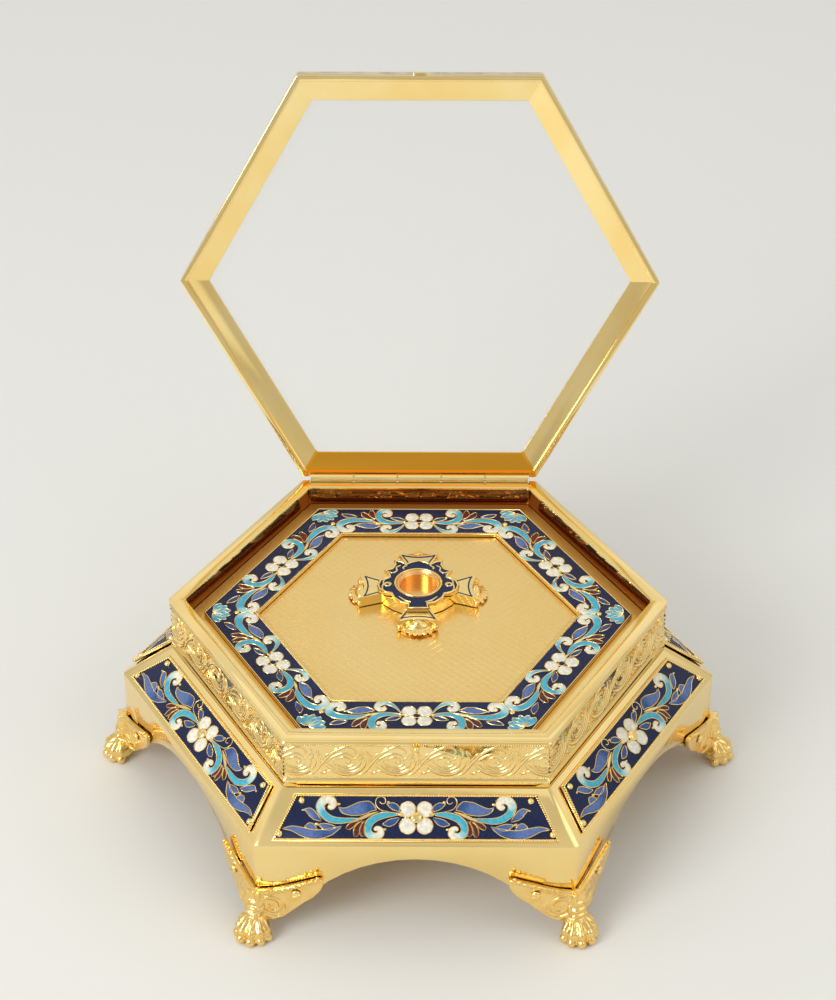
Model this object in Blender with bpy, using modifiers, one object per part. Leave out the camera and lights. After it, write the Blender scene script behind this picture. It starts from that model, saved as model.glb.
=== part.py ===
"""Six-sided reliquary casket with a glazed lid, on six lion paw feet.

Metres, +Z up. The front of the casket faces -Y, two of its corners point along +X and -X,
and the origin is on the floor below the middle of the whole open casket.
"""
import math

import bmesh
import bpy
from mathutils import Matrix, Vector

# Case and plinth
RIM_CORNER_RADIUS = 0.0900
CASE_HEIGHT = 0.0212
CASE_WALL = 0.0053
SKIRT_OUTREACH = 0.0161
SLOPE_DROP = 0.0121
SKIRT_HEIGHT = 0.0224
FOOT_CLEARANCE = 0.0160
PLINTH_SHEET = 0.0020
SHELF_WIDTH = 0.0020
CASE_CORNER_ROUND = 0.0012
SKIRT_CORNER_ROUND = 0.0024

# Arch cut in each side of the skirt
ARCH_RADIUS = 0.0490
ARCH_CROWN_DROP = 0.0056
ARCH_STEPS = 48

# Mouldings on the case wall
TOP_MOULDING = 0.0032
FOOT_MOULDING = 0.0034
BAND_RECESS = 0.0006
MOULDING_GROOVE_AT = 0.0008
MOULDING_GROOVE_WIDTH = 0.0015
MOULDING_GROOVE_DEPTH = 0.0004

# Tray, enamel ring and plaques
TRAY_DEPTH = 0.0073
TRAY_SHEET = 0.0016
ENAMEL_THICKNESS = 0.0010
RING_MARGIN = 0.0056
RING_WIDTH = 0.0168
PLAQUE_TOP_MARGIN = 0.0026
PLAQUE_FOOT_MARGIN = 0.0018
PLAQUE_END_MARGIN = 0.0048
BEAD_RADIUS = 0.0013
BEAD_INSET = 0.0022
BEAD_STEPS = 6

# Relic cross, its cartouche and the capsule
CROSS_SETBACK = 0.0127
CROSS_REACH = 0.0215
CROSS_ARM_END = 0.0148
CROSS_ARM_ROOT = 0.0074
CROSS_ARM_UNDER_CARTOUCHE = 0.0040
CROSS_END_HOLLOW = 0.0017
CROSS_HEIGHT = 0.0040
CARTOUCHE_WIDTH = 0.0300
CARTOUCHE_THICKNESS = 0.0013
BEZEL_MARGIN = 0.0061
BEZEL_WIDTH = 0.0023
BEZEL_RISE = 0.0014
CAPSULE_WALL = 0.0008
CAPSULE_LEDGE = 0.0002
CAPSULE_STEPS = 20
SHELL_REACH = 0.0054
SHELL_HEIGHT = 0.0036
SHELL_LOBES = 5

# Lid
LID_OPEN_DEGREES = 102.9
LID_LIP_WIDTH = 0.0022
LID_LIP_DEPTH = 0.0016
LID_FLANGE_WIDTH = 0.0094
LID_FLANGE_SHEET = 0.0012
LID_BEZEL_WIDTH = 0.0012
LID_BEZEL_SHEET = 0.0008
GLASS_THICKNESS = 0.0030
THUMB_TAB_WIDTH = 0.0050
THUMB_TAB_REACH = 0.0011
THUMB_TAB_THICKNESS = 0.0014

# Hinge
HINGE_LENGTH = 0.0840
HINGE_AXIS_OUT = 0.0008
KNUCKLE_RADIUS = 0.0021
KNUCKLES = 5
PIN_RADIUS = 0.0008
PIN_PLAY = 0.0001
LEAF_SHEET = 0.0007
LEAF_HEIGHT = 0.0046
STOP_REACH = 0.0040
STOP_THICKNESS = 0.0014
STOP_WIDTH = 0.0070
HINGE_STEPS = 14
PIN_STEPS = 10

# Latch
LATCH_BALL_RADIUS = 0.0011
LATCH_DROP = 0.0044
LATCH_DIMPLE_RADIUS = 0.0036
LATCH_DIMPLE_DEPTH = 0.0010

# Feet
WING_LENGTH = 0.0230
WING_TOP = 0.0250
WING_SHEET = 0.0016
PAW_REACH = 0.0112
PAW_WIDTH = 0.0148
PAW_HEIGHT = 0.0099

# Screws
PLAQUE_SCREW_RADIUS = 0.0020
FOOT_SCREW_RADIUS = 0.0017
FOOT_SCREW_ALONG = 0.0135
FOOT_SCREW_UP = 0.0186
SCREW_SHANK_SHARE = 0.45
SCREW_HEAD_SHARE = 0.50
SCREW_PLAY = 0.0002
SCREW_STEPS = 8

GAP = 0.0003
MERGE = 0.00001
SIDES = 6
OVERCUT = 0.0050
SMOOTH_BELOW_DEGREES = 40

# Shapes, as shares of the size that each is named for
WING_SHAPE = (
    (-0.14, 0.784),
    (0.00, 0.784),
    (0.50, 0.880),
    (0.93, 1.000),
    (1.00, 0.950),
    (0.97, 0.830),
    (0.90, 0.720),
    (0.71, 0.580),
    (0.53, 0.432),
    (0.38, 0.312),
    (-0.14, 0.260),
)
CARTOUCHE_SHAPE = (
    (0.000, -0.530),
    (0.130, -0.530),
    (0.103, -0.405),
    (0.217, -0.405),
    (0.297, -0.310),
    (0.320, -0.215),
    (0.400, -0.205),
    (0.480, -0.140),
    (0.500, -0.050),
    (0.475, 0.050),
    (0.410, 0.110),
    (0.345, 0.118),
    (0.355, 0.170),
    (0.418, 0.255),
    (0.330, 0.288),
    (0.285, 0.375),
    (0.300, 0.468),
    (0.220, 0.450),
    (0.150, 0.385),
    (0.085, 0.440),
    (0.000, 0.473),
)
HUB_SHAPE = (
    (0.115, -0.515),
    (0.130, -0.405),
    (0.297, -0.310),
    (0.420, -0.190),
    (0.485, -0.050),
    (0.410, 0.110),
    (0.330, 0.288),
    (0.230, 0.430),
    (0.085, 0.430),
)
TOES = (
    (0.150, 0.62),
    (0.390, 0.42),
)

COS30 = math.cos(math.radians(30))
TAN30 = math.tan(math.radians(30))


def apothem(corner_radius):
    """Distance from the middle of a hexagon to its sides."""
    return corner_radius * COS30


def corner(side_distance):
    """Distance from the middle of a hexagon to its corners."""
    return side_distance / COS30


# Places that follow from the sizes
CASE_SIDE = apothem(RIM_CORNER_RADIUS)
CASE_INSIDE = CASE_SIDE - CASE_WALL
SKIRT_SIDE = CASE_SIDE + SKIRT_OUTREACH
SKIRT_CORNER = corner(SKIRT_SIDE)
SKIRT_BOTTOM = FOOT_CLEARANCE
SKIRT_TOP = SKIRT_BOTTOM + SKIRT_HEIGHT
LANDING = SKIRT_TOP + SLOPE_DROP
LANDING_OPENING = CASE_INSIDE - SHELF_WIDTH
CASE_BOTTOM = LANDING + GAP
RIM = CASE_BOTTOM + CASE_HEIGHT
TRAY_TOP = RIM - TRAY_DEPTH
TRAY_BOTTOM = TRAY_TOP - TRAY_SHEET
RING_BOTTOM = TRAY_TOP + GAP
RING_TOP = RING_BOTTOM + ENAMEL_THICKNESS
SLOPE_ANGLE = math.atan2(SLOPE_DROP, SKIRT_OUTREACH)
SLOPE_LENGTH = math.hypot(SLOPE_DROP, SKIRT_OUTREACH)

CROSS_BOTTOM = TRAY_TOP + GAP
CROSS_TOP = CROSS_BOTTOM + CROSS_HEIGHT
CARTOUCHE_BOTTOM = CROSS_TOP + GAP
CARTOUCHE_TOP = CARTOUCHE_BOTTOM + CARTOUCHE_THICKNESS
BEZEL_BOTTOM = CROSS_TOP + GAP
BEZEL_TOP = BEZEL_BOTTOM + BEZEL_RISE
BEZEL_RADIUS = CARTOUCHE_WIDTH / 2 - BEZEL_MARGIN
CAPSULE_BORE_RADIUS = BEZEL_RADIUS - BEZEL_WIDTH
CAPSULE_OUTER = CAPSULE_BORE_RADIUS + CAPSULE_WALL
CROSS_ARM_ROOT_AT = CARTOUCHE_WIDTH / 2 - CROSS_ARM_UNDER_CARTOUCHE

LID_BOTTOM = RIM + GAP
LID_FLANGE_BOTTOM = LID_BOTTOM + LID_LIP_DEPTH
LID_FLANGE_TOP = LID_FLANGE_BOTTOM + LID_FLANGE_SHEET
LID_BEZEL_BOTTOM = LID_FLANGE_TOP + GAP + GLASS_THICKNESS + GAP
LID_TOP = LID_BEZEL_BOTTOM + LID_BEZEL_SHEET
LID_WALL_INSIDE = CASE_SIDE - LID_LIP_WIDTH
HINGE_Y = CASE_SIDE + HINGE_AXIS_OUT
HINGE_Z = RIM + GAP / 2
BORE_RADIUS = PIN_RADIUS + PIN_PLAY
KNUCKLE_LENGTH = (HINGE_LENGTH - (KNUCKLES - 1) * GAP) / KNUCKLES
LEAF_OUTSIDE = CASE_SIDE + GAP + LEAF_SHEET
LATCH_Y = -(CASE_SIDE - LATCH_DIMPLE_DEPTH + GAP + LATCH_BALL_RADIUS)
OPENED = Matrix.Rotation(math.radians(-LID_OPEN_DEGREES), 4, "X")


def clear_scene():
    """Removes every object of the scene."""
    for old in list(bpy.data.objects):
        bpy.data.objects.remove(old, do_unlink=True)


def collection(name):
    """A new collection of the scene."""
    made = bpy.data.collections.new(name)
    bpy.context.scene.collection.children.link(made)
    return made


def material(name, colour, roughness, metallic, alpha=1.0):
    """A plain Principled material."""
    made = bpy.data.materials.new(name)
    made.use_nodes = True
    shader = made.node_tree.nodes["Principled BSDF"]
    shader.inputs["Base Color"].default_value = (*colour, 1.0)
    shader.inputs["Roughness"].default_value = roughness
    shader.inputs["Metallic"].default_value = metallic
    shader.inputs["Alpha"].default_value = alpha
    return made


clear_scene()
CASKET = collection("reliquary_casket")
GOLD = material("gilt brass", (0.83, 0.58, 0.22), 0.15, 1.0)
CAST_GOLD = material("cast gilt brass", (0.80, 0.53, 0.18), 0.30, 1.0)
COPPER = material("copper gilt", (0.70, 0.32, 0.12), 0.25, 1.0)
NAVY = material("navy enamel", (0.015, 0.02, 0.07), 0.15, 0.0)
GLASS = material("clear glass", (0.95, 0.97, 0.96), 0.02, 0.0, 0.2)


def empty(name, where, parent=None):
    """An empty that others are parented to."""
    made = bpy.data.objects.new(name, None)
    made.parent = parent
    made.matrix_local = where
    CASKET.objects.link(made)
    return made


def add_object(name, mesh, finish, parent, where=None):
    """Puts a copy of a mesh in the casket's collection as one named object."""
    mesh = mesh.copy()
    mesh.name = name
    mesh.materials.clear()
    mesh.materials.append(finish)
    mesh.shade_smooth()
    mesh.set_sharp_from_angle(angle=math.radians(SMOOTH_BELOW_DEGREES))
    made = bpy.data.objects.new(name, mesh)
    made.parent = parent
    if where is not None:
        made.matrix_local = where
    CASKET.objects.link(made)
    return made


def working_object(mesh):
    """An object to shape a mesh with, linked to the scene for as long as it is needed."""
    made = bpy.data.objects.new("work", mesh)
    made.hide_render = True
    made.display_type = "WIRE"
    bpy.context.scene.collection.objects.link(made)
    return made


def settled_mesh(obj):
    """The object's mesh with its modifiers applied, welded, in the object's own frame."""
    bpy.context.view_layer.update()
    graph = bpy.context.evaluated_depsgraph_get()
    mesh = bpy.data.meshes.new_from_object(obj.evaluated_get(graph))
    work = bmesh.new()
    work.from_mesh(mesh)
    bmesh.ops.remove_doubles(work, verts=work.verts, dist=MERGE)
    work.to_mesh(mesh)
    work.free()
    return mesh


def combined(mesh, others, operation="DIFFERENCE"):
    """Mesh with the others cut from it, or joined to it with UNION."""
    base = working_object(mesh)
    tools = [working_object(other) for other in others]
    for tool in tools:
        step = base.modifiers.new(operation.title(), "BOOLEAN")
        step.operation = operation
        step.solver = "EXACT"
        step.object = tool
    result = settled_mesh(base)
    for used in (base, *tools):
        bpy.data.objects.remove(used)
    return result


def placed(mesh, where):
    """Copy of a mesh moved to a frame."""
    made = mesh.copy()
    made.transform(where)
    return made


def mesh_from(work, name):
    """Turns a finished bmesh into a mesh."""
    mesh = bpy.data.meshes.new(name)
    work.to_mesh(mesh)
    work.free()
    return mesh


def turned(points, steps):
    """Mesh of a profile of (radius, height) points turned round Z, closed or from axis to axis."""
    mesh = bpy.data.meshes.new("profile")
    edges = [(i, i + 1) for i in range(len(points) - 1)]
    if points[0][0] > 0:
        edges.append((len(points) - 1, 0))
    mesh.from_pydata([(radius, 0.0, height) for radius, height in points], edges, [])
    spun = working_object(mesh)
    screw = spun.modifiers.new("Turn", "SCREW")
    screw.steps = steps
    screw.render_steps = steps
    screw.use_merge_vertices = True
    screw.merge_threshold = MERGE
    result = settled_mesh(spun)
    bpy.data.objects.remove(spun)
    work = bmesh.new()
    work.from_mesh(result)
    bmesh.ops.recalc_face_normals(work, faces=work.faces)
    return mesh_from(work, "turned")


def hexagon_outline(side, round_radius):
    """Points of a hexagon with rounded corners, the first corner along +X."""
    tip = corner(side)
    tangent = round_radius * TAN30
    rounded = [
        (tip - tangent / 2, -tangent * COS30),
        (tip - round_radius * (1 / COS30 - 1), 0.0),
        (tip - tangent / 2, tangent * COS30),
    ]
    outline = []
    for index in range(SIDES):
        turn = Matrix.Rotation(math.radians(60 * index), 2)
        outline.extend(tuple(turn @ Vector(point)) for point in rounded)
    return outline


def six_sided(profile, round_radius):
    """Mesh of a closed profile of (side distance, height) points taken round the hexagon."""
    work = bmesh.new()
    rings = []
    for side, height in profile:
        outline = hexagon_outline(side, round_radius)
        rings.append([work.verts.new((x, y, height)) for x, y in outline])
    for ring, following in zip(rings, rings[1:] + rings[:1]):
        for i, vert in enumerate(ring):
            work.faces.new((ring[i - 1], vert, following[i], following[i - 1]))
    bmesh.ops.recalc_face_normals(work, faces=work.faces)
    return mesh_from(work, "six sides")


def hexagon_plate(side, low, high, round_radius):
    """Mesh of a six-sided plate."""
    return flat_plate([hexagon_outline(side, round_radius)], low, high)


def flat_plate(outlines, low, high):
    """Mesh of flat closed outlines, the later ones holes, between two heights."""
    curve = bpy.data.curves.new("outline", "CURVE")
    curve.dimensions = "2D"
    curve.fill_mode = "BOTH"
    curve.extrude = (high - low) / 2
    for outline in outlines:
        spline = curve.splines.new("POLY")
        spline.points.add(len(outline) - 1)
        for point, (x, y) in zip(spline.points, outline):
            point.co = (x, y, 0.0, 1.0)
        spline.use_cyclic_u = True
    drawn = working_object(curve)
    mesh = settled_mesh(drawn)
    bpy.data.objects.remove(drawn)
    mesh.transform(Matrix.Translation((0, 0, (low + high) / 2)))
    return mesh


def circle(radius, count, middle=(0.0, 0.0)):
    """Points of a round outline."""
    turns = (2 * math.pi * i / count for i in range(count))
    return [(middle[0] + radius * math.cos(t), middle[1] + radius * math.sin(t)) for t in turns]


def box_mesh(low, high):
    """Mesh of a box between two corners."""
    low, high = Vector(low), Vector(high)
    work = bmesh.new()
    bmesh.ops.create_cube(work, size=1.0)
    bmesh.ops.scale(work, vec=high - low, verts=work.verts)
    bmesh.ops.translate(work, vec=(low + high) / 2, verts=work.verts)
    return mesh_from(work, "box")


def ball_mesh(middle, radii, around=10, rings=6):
    """Mesh of an ellipsoid."""
    work = bmesh.new()
    bmesh.ops.create_uvsphere(work, u_segments=around, v_segments=rings, radius=1.0)
    place = Matrix.Translation(middle) @ Matrix.Diagonal((*radii, 1.0))
    bmesh.ops.transform(work, matrix=place, verts=work.verts)
    return mesh_from(work, "ball")


def rod_mesh(radius, low, high, count, where=Matrix.Identity(4)):
    """Mesh of a rod along Z between two heights."""
    work = bmesh.new()
    bmesh.ops.create_cone(work, cap_ends=True, segments=count, radius1=radius, radius2=radius,
                          depth=high - low)
    place = where @ Matrix.Translation((0, 0, (low + high) / 2))
    bmesh.ops.transform(work, matrix=place, verts=work.verts)
    return mesh_from(work, "rod")


def along_x(radius, start, end, y, z, count):
    """Mesh of a rod along X."""
    lie = Matrix.Translation((0, y, z)) @ Matrix.Rotation(math.pi / 2, 4, "Y")
    return rod_mesh(radius, start, end, count, lie)


def side_turn(index):
    """Turn about Z that brings the front side to the side of this number."""
    return Matrix.Rotation(math.radians(60 * index), 4, "Z")


def slope_frame(index):
    """Frame of a sloping face: X along it, Y up it, Z out of it, origin at its top edge."""
    lean = Matrix.Rotation(SLOPE_ANGLE, 4, "X")
    return side_turn(index) @ Matrix.Translation((0, -CASE_SIDE, LANDING)) @ lean


def wall_frame(corner_index, hand):
    """Frame of a skirt face beside a corner: X along the face, Y up, Z out, origin at the corner."""
    facing = math.radians(60 * corner_index + 30 * hand)
    turn = math.radians(60 * corner_index)
    return Matrix((
        (-math.sin(facing), 0, math.cos(facing), SKIRT_CORNER * math.cos(turn)),
        (math.cos(facing), 0, math.sin(facing), SKIRT_CORNER * math.sin(turn)),
        (0, 1, 0, 0),
        (0, 0, 0, 1),
    ))


def screw_mesh(radius, shank_length, slot_turn):
    """Slotted screw with a domed head, its head resting on Z = 0 and its shank going down."""
    shank = radius * SCREW_SHANK_SHARE
    head = radius * SCREW_HEAD_SHARE
    profile = [
        (0.0, head),
        (radius, head * 0.55),
        (radius, 0.0),
        (shank, 0.0),
        (shank, -shank_length),
        (0.0, -shank_length),
    ]
    slot_half = radius * 0.14
    slot = box_mesh((-radius * 1.2, -slot_half, head * 0.35), (radius * 1.2, slot_half, head * 2))
    return combined(turned(profile, SCREW_STEPS), [placed(slot, Matrix.Rotation(slot_turn, 4, "Z"))])


def screw_hole(radius, where):
    """Cutter for a screw's shank."""
    return rod_mesh(radius * SCREW_SHANK_SHARE + SCREW_PLAY, -OVERCUT, OVERCUT, 8, where)


def plaque_outline():
    """Trapezium of a plaque on its sloping face, as (along, up) points."""
    share = SKIRT_OUTREACH / SLOPE_LENGTH
    end_lean = math.atan2(TAN30 * SKIRT_OUTREACH, SLOPE_LENGTH)
    inset = PLAQUE_END_MARGIN / math.cos(end_lean)
    top = PLAQUE_TOP_MARGIN
    foot = SLOPE_LENGTH - PLAQUE_FOOT_MARGIN
    half_top = (CASE_SIDE + top * share) * TAN30 - inset
    half_foot = (CASE_SIDE + foot * share) * TAN30 - inset
    return [(-half_foot, -foot), (half_foot, -foot), (half_top, -top), (-half_top, -top)]


def plaque_middle():
    """Height of the middle of a plaque on its sloping face."""
    outline = plaque_outline()
    return (outline[0][1] + outline[2][1]) / 2


def foot_screw_frame(corner_index, hand):
    """Frame of a foot screw on the skirt face."""
    place = Matrix.Translation((hand * FOOT_SCREW_ALONG, FOOT_SCREW_UP, 0))
    return wall_frame(corner_index, hand) @ place


def make_plinth(root):
    """Hollow six-sided plinth: skirt with arches, sloping top and the landing for the case."""
    inner = SKIRT_SIDE - PLINTH_SHEET
    turn_in = PLINTH_SHEET * math.tan(SLOPE_ANGLE / 2)
    turn_down = PLINTH_SHEET * math.tan((math.pi / 2 - SLOPE_ANGLE) / 2)
    profile = [
        (LANDING_OPENING, LANDING),
        (CASE_SIDE, LANDING),
        (SKIRT_SIDE, SKIRT_TOP),
        (SKIRT_SIDE, SKIRT_BOTTOM),
        (inner, SKIRT_BOTTOM),
        (inner, SKIRT_TOP - turn_down),
        (CASE_SIDE - turn_in, LANDING - PLINTH_SHEET),
        (LANDING_OPENING, LANDING - PLINTH_SHEET),
    ]
    mesh = six_sided(profile, SKIRT_CORNER_ROUND)
    arch_middle = SKIRT_TOP - ARCH_CROWN_DROP - ARCH_RADIUS
    reach = SKIRT_SIDE + OVERCUT
    arch = along_x(ARCH_RADIUS, -reach, reach, 0, arch_middle, ARCH_STEPS)
    cutters = [placed(arch, side_turn(pair) @ Matrix.Rotation(math.pi / 2, 4, "Z"))
               for pair in range(SIDES // 2)]
    for index in range(SIDES):
        place = slope_frame(index) @ Matrix.Translation((0, plaque_middle(), 0))
        cutters.append(screw_hole(PLAQUE_SCREW_RADIUS, place))
        for hand in (1, -1):
            cutters.append(screw_hole(FOOT_SCREW_RADIUS, foot_screw_frame(index, hand)))
    return add_object("plinth", combined(mesh, cutters), GOLD, root)


def make_plaques(root):
    """Six enamel plaques with a bead in each corner, and the screw that holds each."""
    outline = plaque_outline()
    hole = circle(PLAQUE_SCREW_RADIUS * SCREW_SHANK_SHARE + SCREW_PLAY, 8, (0.0, plaque_middle()))
    face = GAP + ENAMEL_THICKNESS
    seated = face - ENAMEL_THICKNESS / 2
    dome = [
        (0.0, face + BEAD_RADIUS),
        (BEAD_RADIUS * 0.75, face + BEAD_RADIUS * 0.66),
        (BEAD_RADIUS, seated),
        (0.0, seated),
    ]
    bead = turned(dome, BEAD_STEPS)
    beads = []
    for x, y in outline:
        bead_x = x - math.copysign(BEAD_INSET, x)
        bead_y = y + math.copysign(BEAD_INSET, plaque_middle() - y)
        beads.append(placed(bead, Matrix.Translation((bead_x, bead_y, 0))))
    plaque = combined(flat_plate([outline, hole], GAP, face), beads, "UNION")
    screw = screw_mesh(PLAQUE_SCREW_RADIUS, face + PLINTH_SHEET, math.radians(35))
    seat = Matrix.Translation((0, plaque_middle(), face + GAP))
    for index in range(SIDES):
        number = index + 1
        add_object(f"enamel_plaque_{number}", plaque, NAVY, root, slope_frame(index))
        add_object(f"plaque_screw_{number}", screw, GOLD, root, slope_frame(index) @ seat)


def make_case(root):
    """Case wall with its mouldings, the shelf for the tray, the hinge rebate and the dimple."""
    ground = CASE_SIDE - BAND_RECESS
    groove = CASE_SIDE - MOULDING_GROOVE_DEPTH
    groove_top = RIM - MOULDING_GROOVE_AT
    groove_foot = groove_top - MOULDING_GROOVE_WIDTH
    band_top = RIM - TOP_MOULDING
    band_foot = CASE_BOTTOM + FOOT_MOULDING
    shelf_top = TRAY_BOTTOM - GAP
    profile = [
        (CASE_INSIDE, RIM),
        (CASE_SIDE, RIM),
        (CASE_SIDE, groove_top),
        (groove, groove_top - MOULDING_GROOVE_DEPTH),
        (groove, groove_foot + MOULDING_GROOVE_DEPTH),
        (CASE_SIDE, groove_foot),
        (CASE_SIDE, band_top + BAND_RECESS),
        (ground, band_top),
        (ground, band_foot),
        (CASE_SIDE, band_foot - BAND_RECESS),
        (CASE_SIDE, CASE_BOTTOM),
        (LANDING_OPENING, CASE_BOTTOM),
        (LANDING_OPENING, shelf_top),
        (CASE_INSIDE, shelf_top),
    ]
    middle = (0, -CASE_SIDE + LATCH_DIMPLE_DEPTH - LATCH_DIMPLE_RADIUS, RIM - LATCH_DROP)
    dimple = ball_mesh(middle, (LATCH_DIMPLE_RADIUS,) * 3, 16, 10)
    mesh = combined(six_sided(profile, CASE_CORNER_ROUND), [hinge_rebate(), dimple])
    add_object("case_body", mesh, GOLD, root)
    ball = ball_mesh((0, LATCH_Y, RIM - LATCH_DROP), (LATCH_BALL_RADIUS,) * 3, 10, 6)
    add_object("latch_ball", ball, GOLD, root)


def hinge_rebate():
    """Cutter for the round rebate that the hinge knuckles turn in."""
    half = HINGE_LENGTH / 2 + GAP
    return along_x(KNUCKLE_RADIUS + GAP, -half, half, HINGE_Y, HINGE_Z, HINGE_STEPS)


def make_tray(root):
    """Flat tray inside the case and the enamel ring that lies on it."""
    tray = hexagon_plate(CASE_INSIDE - GAP, TRAY_BOTTOM, TRAY_TOP, CASE_CORNER_ROUND)
    add_object("inner_tray", tray, GOLD, root)
    outer = CASE_INSIDE - RING_MARGIN
    inner = outer - RING_WIDTH
    profile = [(inner, RING_TOP), (outer, RING_TOP), (outer, RING_BOTTOM), (inner, RING_BOTTOM)]
    add_object("enamel_ring", six_sided(profile, CASE_CORNER_ROUND), NAVY, root)


def cross_outline():
    """Outline of four arms that widen to hollowed ends."""
    half_end = CROSS_ARM_END / 2
    half_root = CROSS_ARM_ROOT / 2
    hollow = [(CROSS_REACH - CROSS_END_HOLLOW * (1 - share ** 2), half_end * share)
              for share in (-1, -0.5, 0, 0.5, 1)]
    arm = [(CROSS_ARM_ROOT_AT, -half_root), *hollow, (CROSS_ARM_ROOT_AT, half_root)]
    outline = []
    for quarter in range(4):
        turn = Matrix.Rotation(quarter * math.pi / 2, 2)
        outline.extend(tuple(turn @ Vector(point)) for point in arm)
    return outline


def cartouche_outline():
    """Outline of the scrolled cartouche, the same to the left and the right."""
    right = [(x * CARTOUCHE_WIDTH, y * CARTOUCHE_WIDTH) for x, y in CARTOUCHE_SHAPE]
    left = [(-x, y) for x, y in reversed(right[1:-1])]
    return right + left


def hub_outline():
    """Outline of the block below the cartouche, between the arms of the cross."""
    right = [(x * CARTOUCHE_WIDTH, y * CARTOUCHE_WIDTH) for x, y in HUB_SHAPE]
    left = [(-x, y) for x, y in reversed(right)]
    return right + left


def make_cross(root):
    """Relic cross with its hub, the cartouche on it, the capsule and the four arm ornaments."""
    middle = Matrix.Translation((0, CROSS_SETBACK, 0))
    arms = flat_plate([cross_outline()], CROSS_BOTTOM, CROSS_TOP)
    hub = flat_plate([hub_outline()], CROSS_BOTTOM, CROSS_TOP)
    well = rod_mesh(CAPSULE_OUTER + GAP, TRAY_TOP - GAP, CARTOUCHE_TOP + GAP, CAPSULE_STEPS)
    cross = combined(combined(arms, [hub], "UNION"), [well])
    add_object("relic_cross", cross, GOLD, root, middle)
    hole = circle(BEZEL_RADIUS + GAP, CAPSULE_STEPS)
    plate = flat_plate([cartouche_outline(), hole], CARTOUCHE_BOTTOM, CARTOUCHE_TOP)
    add_object("relic_cartouche", plate, NAVY, root, middle)
    add_object("relic_capsule", turned(capsule_profile(), CAPSULE_STEPS), COPPER, root, middle)
    shell = shell_mesh()
    for quarter in range(4):
        turn = Matrix.Rotation(quarter * math.pi / 2, 4, "Z")
        add_object(f"arm_ornament_{quarter + 1}", shell, CAST_GOLD, root, middle @ turn)


def capsule_profile():
    """Half section of the capsule: a bezel stepping down to a round well, from axis to axis."""
    floor = CROSS_BOTTOM + CAPSULE_WALL
    step = (BEZEL_RADIUS - CAPSULE_BORE_RADIUS) / 4
    drop = BEZEL_RISE / 4
    return [
        (0.0, floor),
        (CAPSULE_BORE_RADIUS, floor),
        (CAPSULE_BORE_RADIUS, BEZEL_BOTTOM + CAPSULE_LEDGE),
        (CAPSULE_BORE_RADIUS + step, BEZEL_TOP - 2 * drop),
        (CAPSULE_BORE_RADIUS + 2 * step, BEZEL_TOP - 2 * drop),
        (CAPSULE_BORE_RADIUS + 3 * step, BEZEL_TOP),
        (BEZEL_RADIUS - step / 4, BEZEL_TOP),
        (BEZEL_RADIUS, BEZEL_TOP - drop),
        (BEZEL_RADIUS, BEZEL_BOTTOM),
        (CAPSULE_OUTER, BEZEL_BOTTOM),
        (CAPSULE_OUTER, CROSS_BOTTOM),
        (0.0, CROSS_BOTTOM),
    ]


def shell_mesh():
    """Ribbed shell with its root in the hollow of an arm's end, spreading along +X."""
    root_x = CROSS_REACH - CROSS_END_HOLLOW + GAP
    spread = math.radians(77)
    count = 2 * SHELL_LOBES + 1
    rings = ((0.30, 1.00), (0.70, 0.94), (1.00, 0.55))
    work = bmesh.new()
    top = work.verts.new((root_x, 0, CROSS_BOTTOM + SHELL_HEIGHT))
    foot = work.verts.new((root_x, 0, CROSS_BOTTOM))
    rays = []
    for i in range(count):
        turn = spread * (2 * i / (count - 1) - 1)
        valley = 0.90 if i % 2 == 0 else 1.0
        ray = []
        for share, height in rings:
            reach = SHELL_REACH * share * valley
            rise = SHELL_HEIGHT * height * (valley if share > rings[0][0] else 1.0)
            ray.append(work.verts.new((root_x + reach * math.cos(turn), reach * math.sin(turn),
                                       CROSS_BOTTOM + rise)))
        reach = SHELL_REACH * valley
        ray.append(work.verts.new((root_x + reach * math.cos(turn), reach * math.sin(turn), CROSS_BOTTOM)))
        rays.append(ray)
    for ray, following in zip(rays, rays[1:]):
        work.faces.new((top, ray[0], following[0]))
        for low in range(len(rings)):
            work.faces.new((ray[low], ray[low + 1], following[low + 1], following[low]))
        work.faces.new((foot, following[-1], ray[-1]))
    work.faces.new((top, foot, *reversed(rays[0])))
    work.faces.new((foot, top, *rays[-1]))
    bmesh.ops.triangulate(work, faces=[face for face in work.faces if len(face.verts) > 4])
    bmesh.ops.recalc_face_normals(work, faces=work.faces)
    return mesh_from(work, "shell")


def knuckle_span(number):
    """Start and end of a hinge knuckle along X."""
    start = -HINGE_LENGTH / 2 + number * (KNUCKLE_LENGTH + GAP)
    return start, start + KNUCKLE_LENGTH


def hinge_leaf(direction, own, others, extras):
    """Leaf with its knuckles, going down the case for -1 and up the lid for +1."""
    half = HINGE_LENGTH / 2
    far = HINGE_Z + direction * LEAF_HEIGHT
    plate = box_mesh((-half, CASE_SIDE + GAP, min(HINGE_Z, far)), (half, LEAF_OUTSIDE, max(HINGE_Z, far)))
    clear = []
    for number in others:
        start, end = knuckle_span(number)
        clear.append(along_x(KNUCKLE_RADIUS + GAP, start - GAP, end + GAP, HINGE_Y, HINGE_Z, HINGE_STEPS))
    knuckles = [along_x(KNUCKLE_RADIUS, *knuckle_span(number), HINGE_Y, HINGE_Z, HINGE_STEPS)
                for number in own]
    mesh = combined(combined(plate, clear), knuckles + extras, "UNION")
    bore = along_x(BORE_RADIUS, -HINGE_LENGTH, HINGE_LENGTH, HINGE_Y, HINGE_Z, PIN_STEPS)
    return combined(mesh, [bore])


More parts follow.
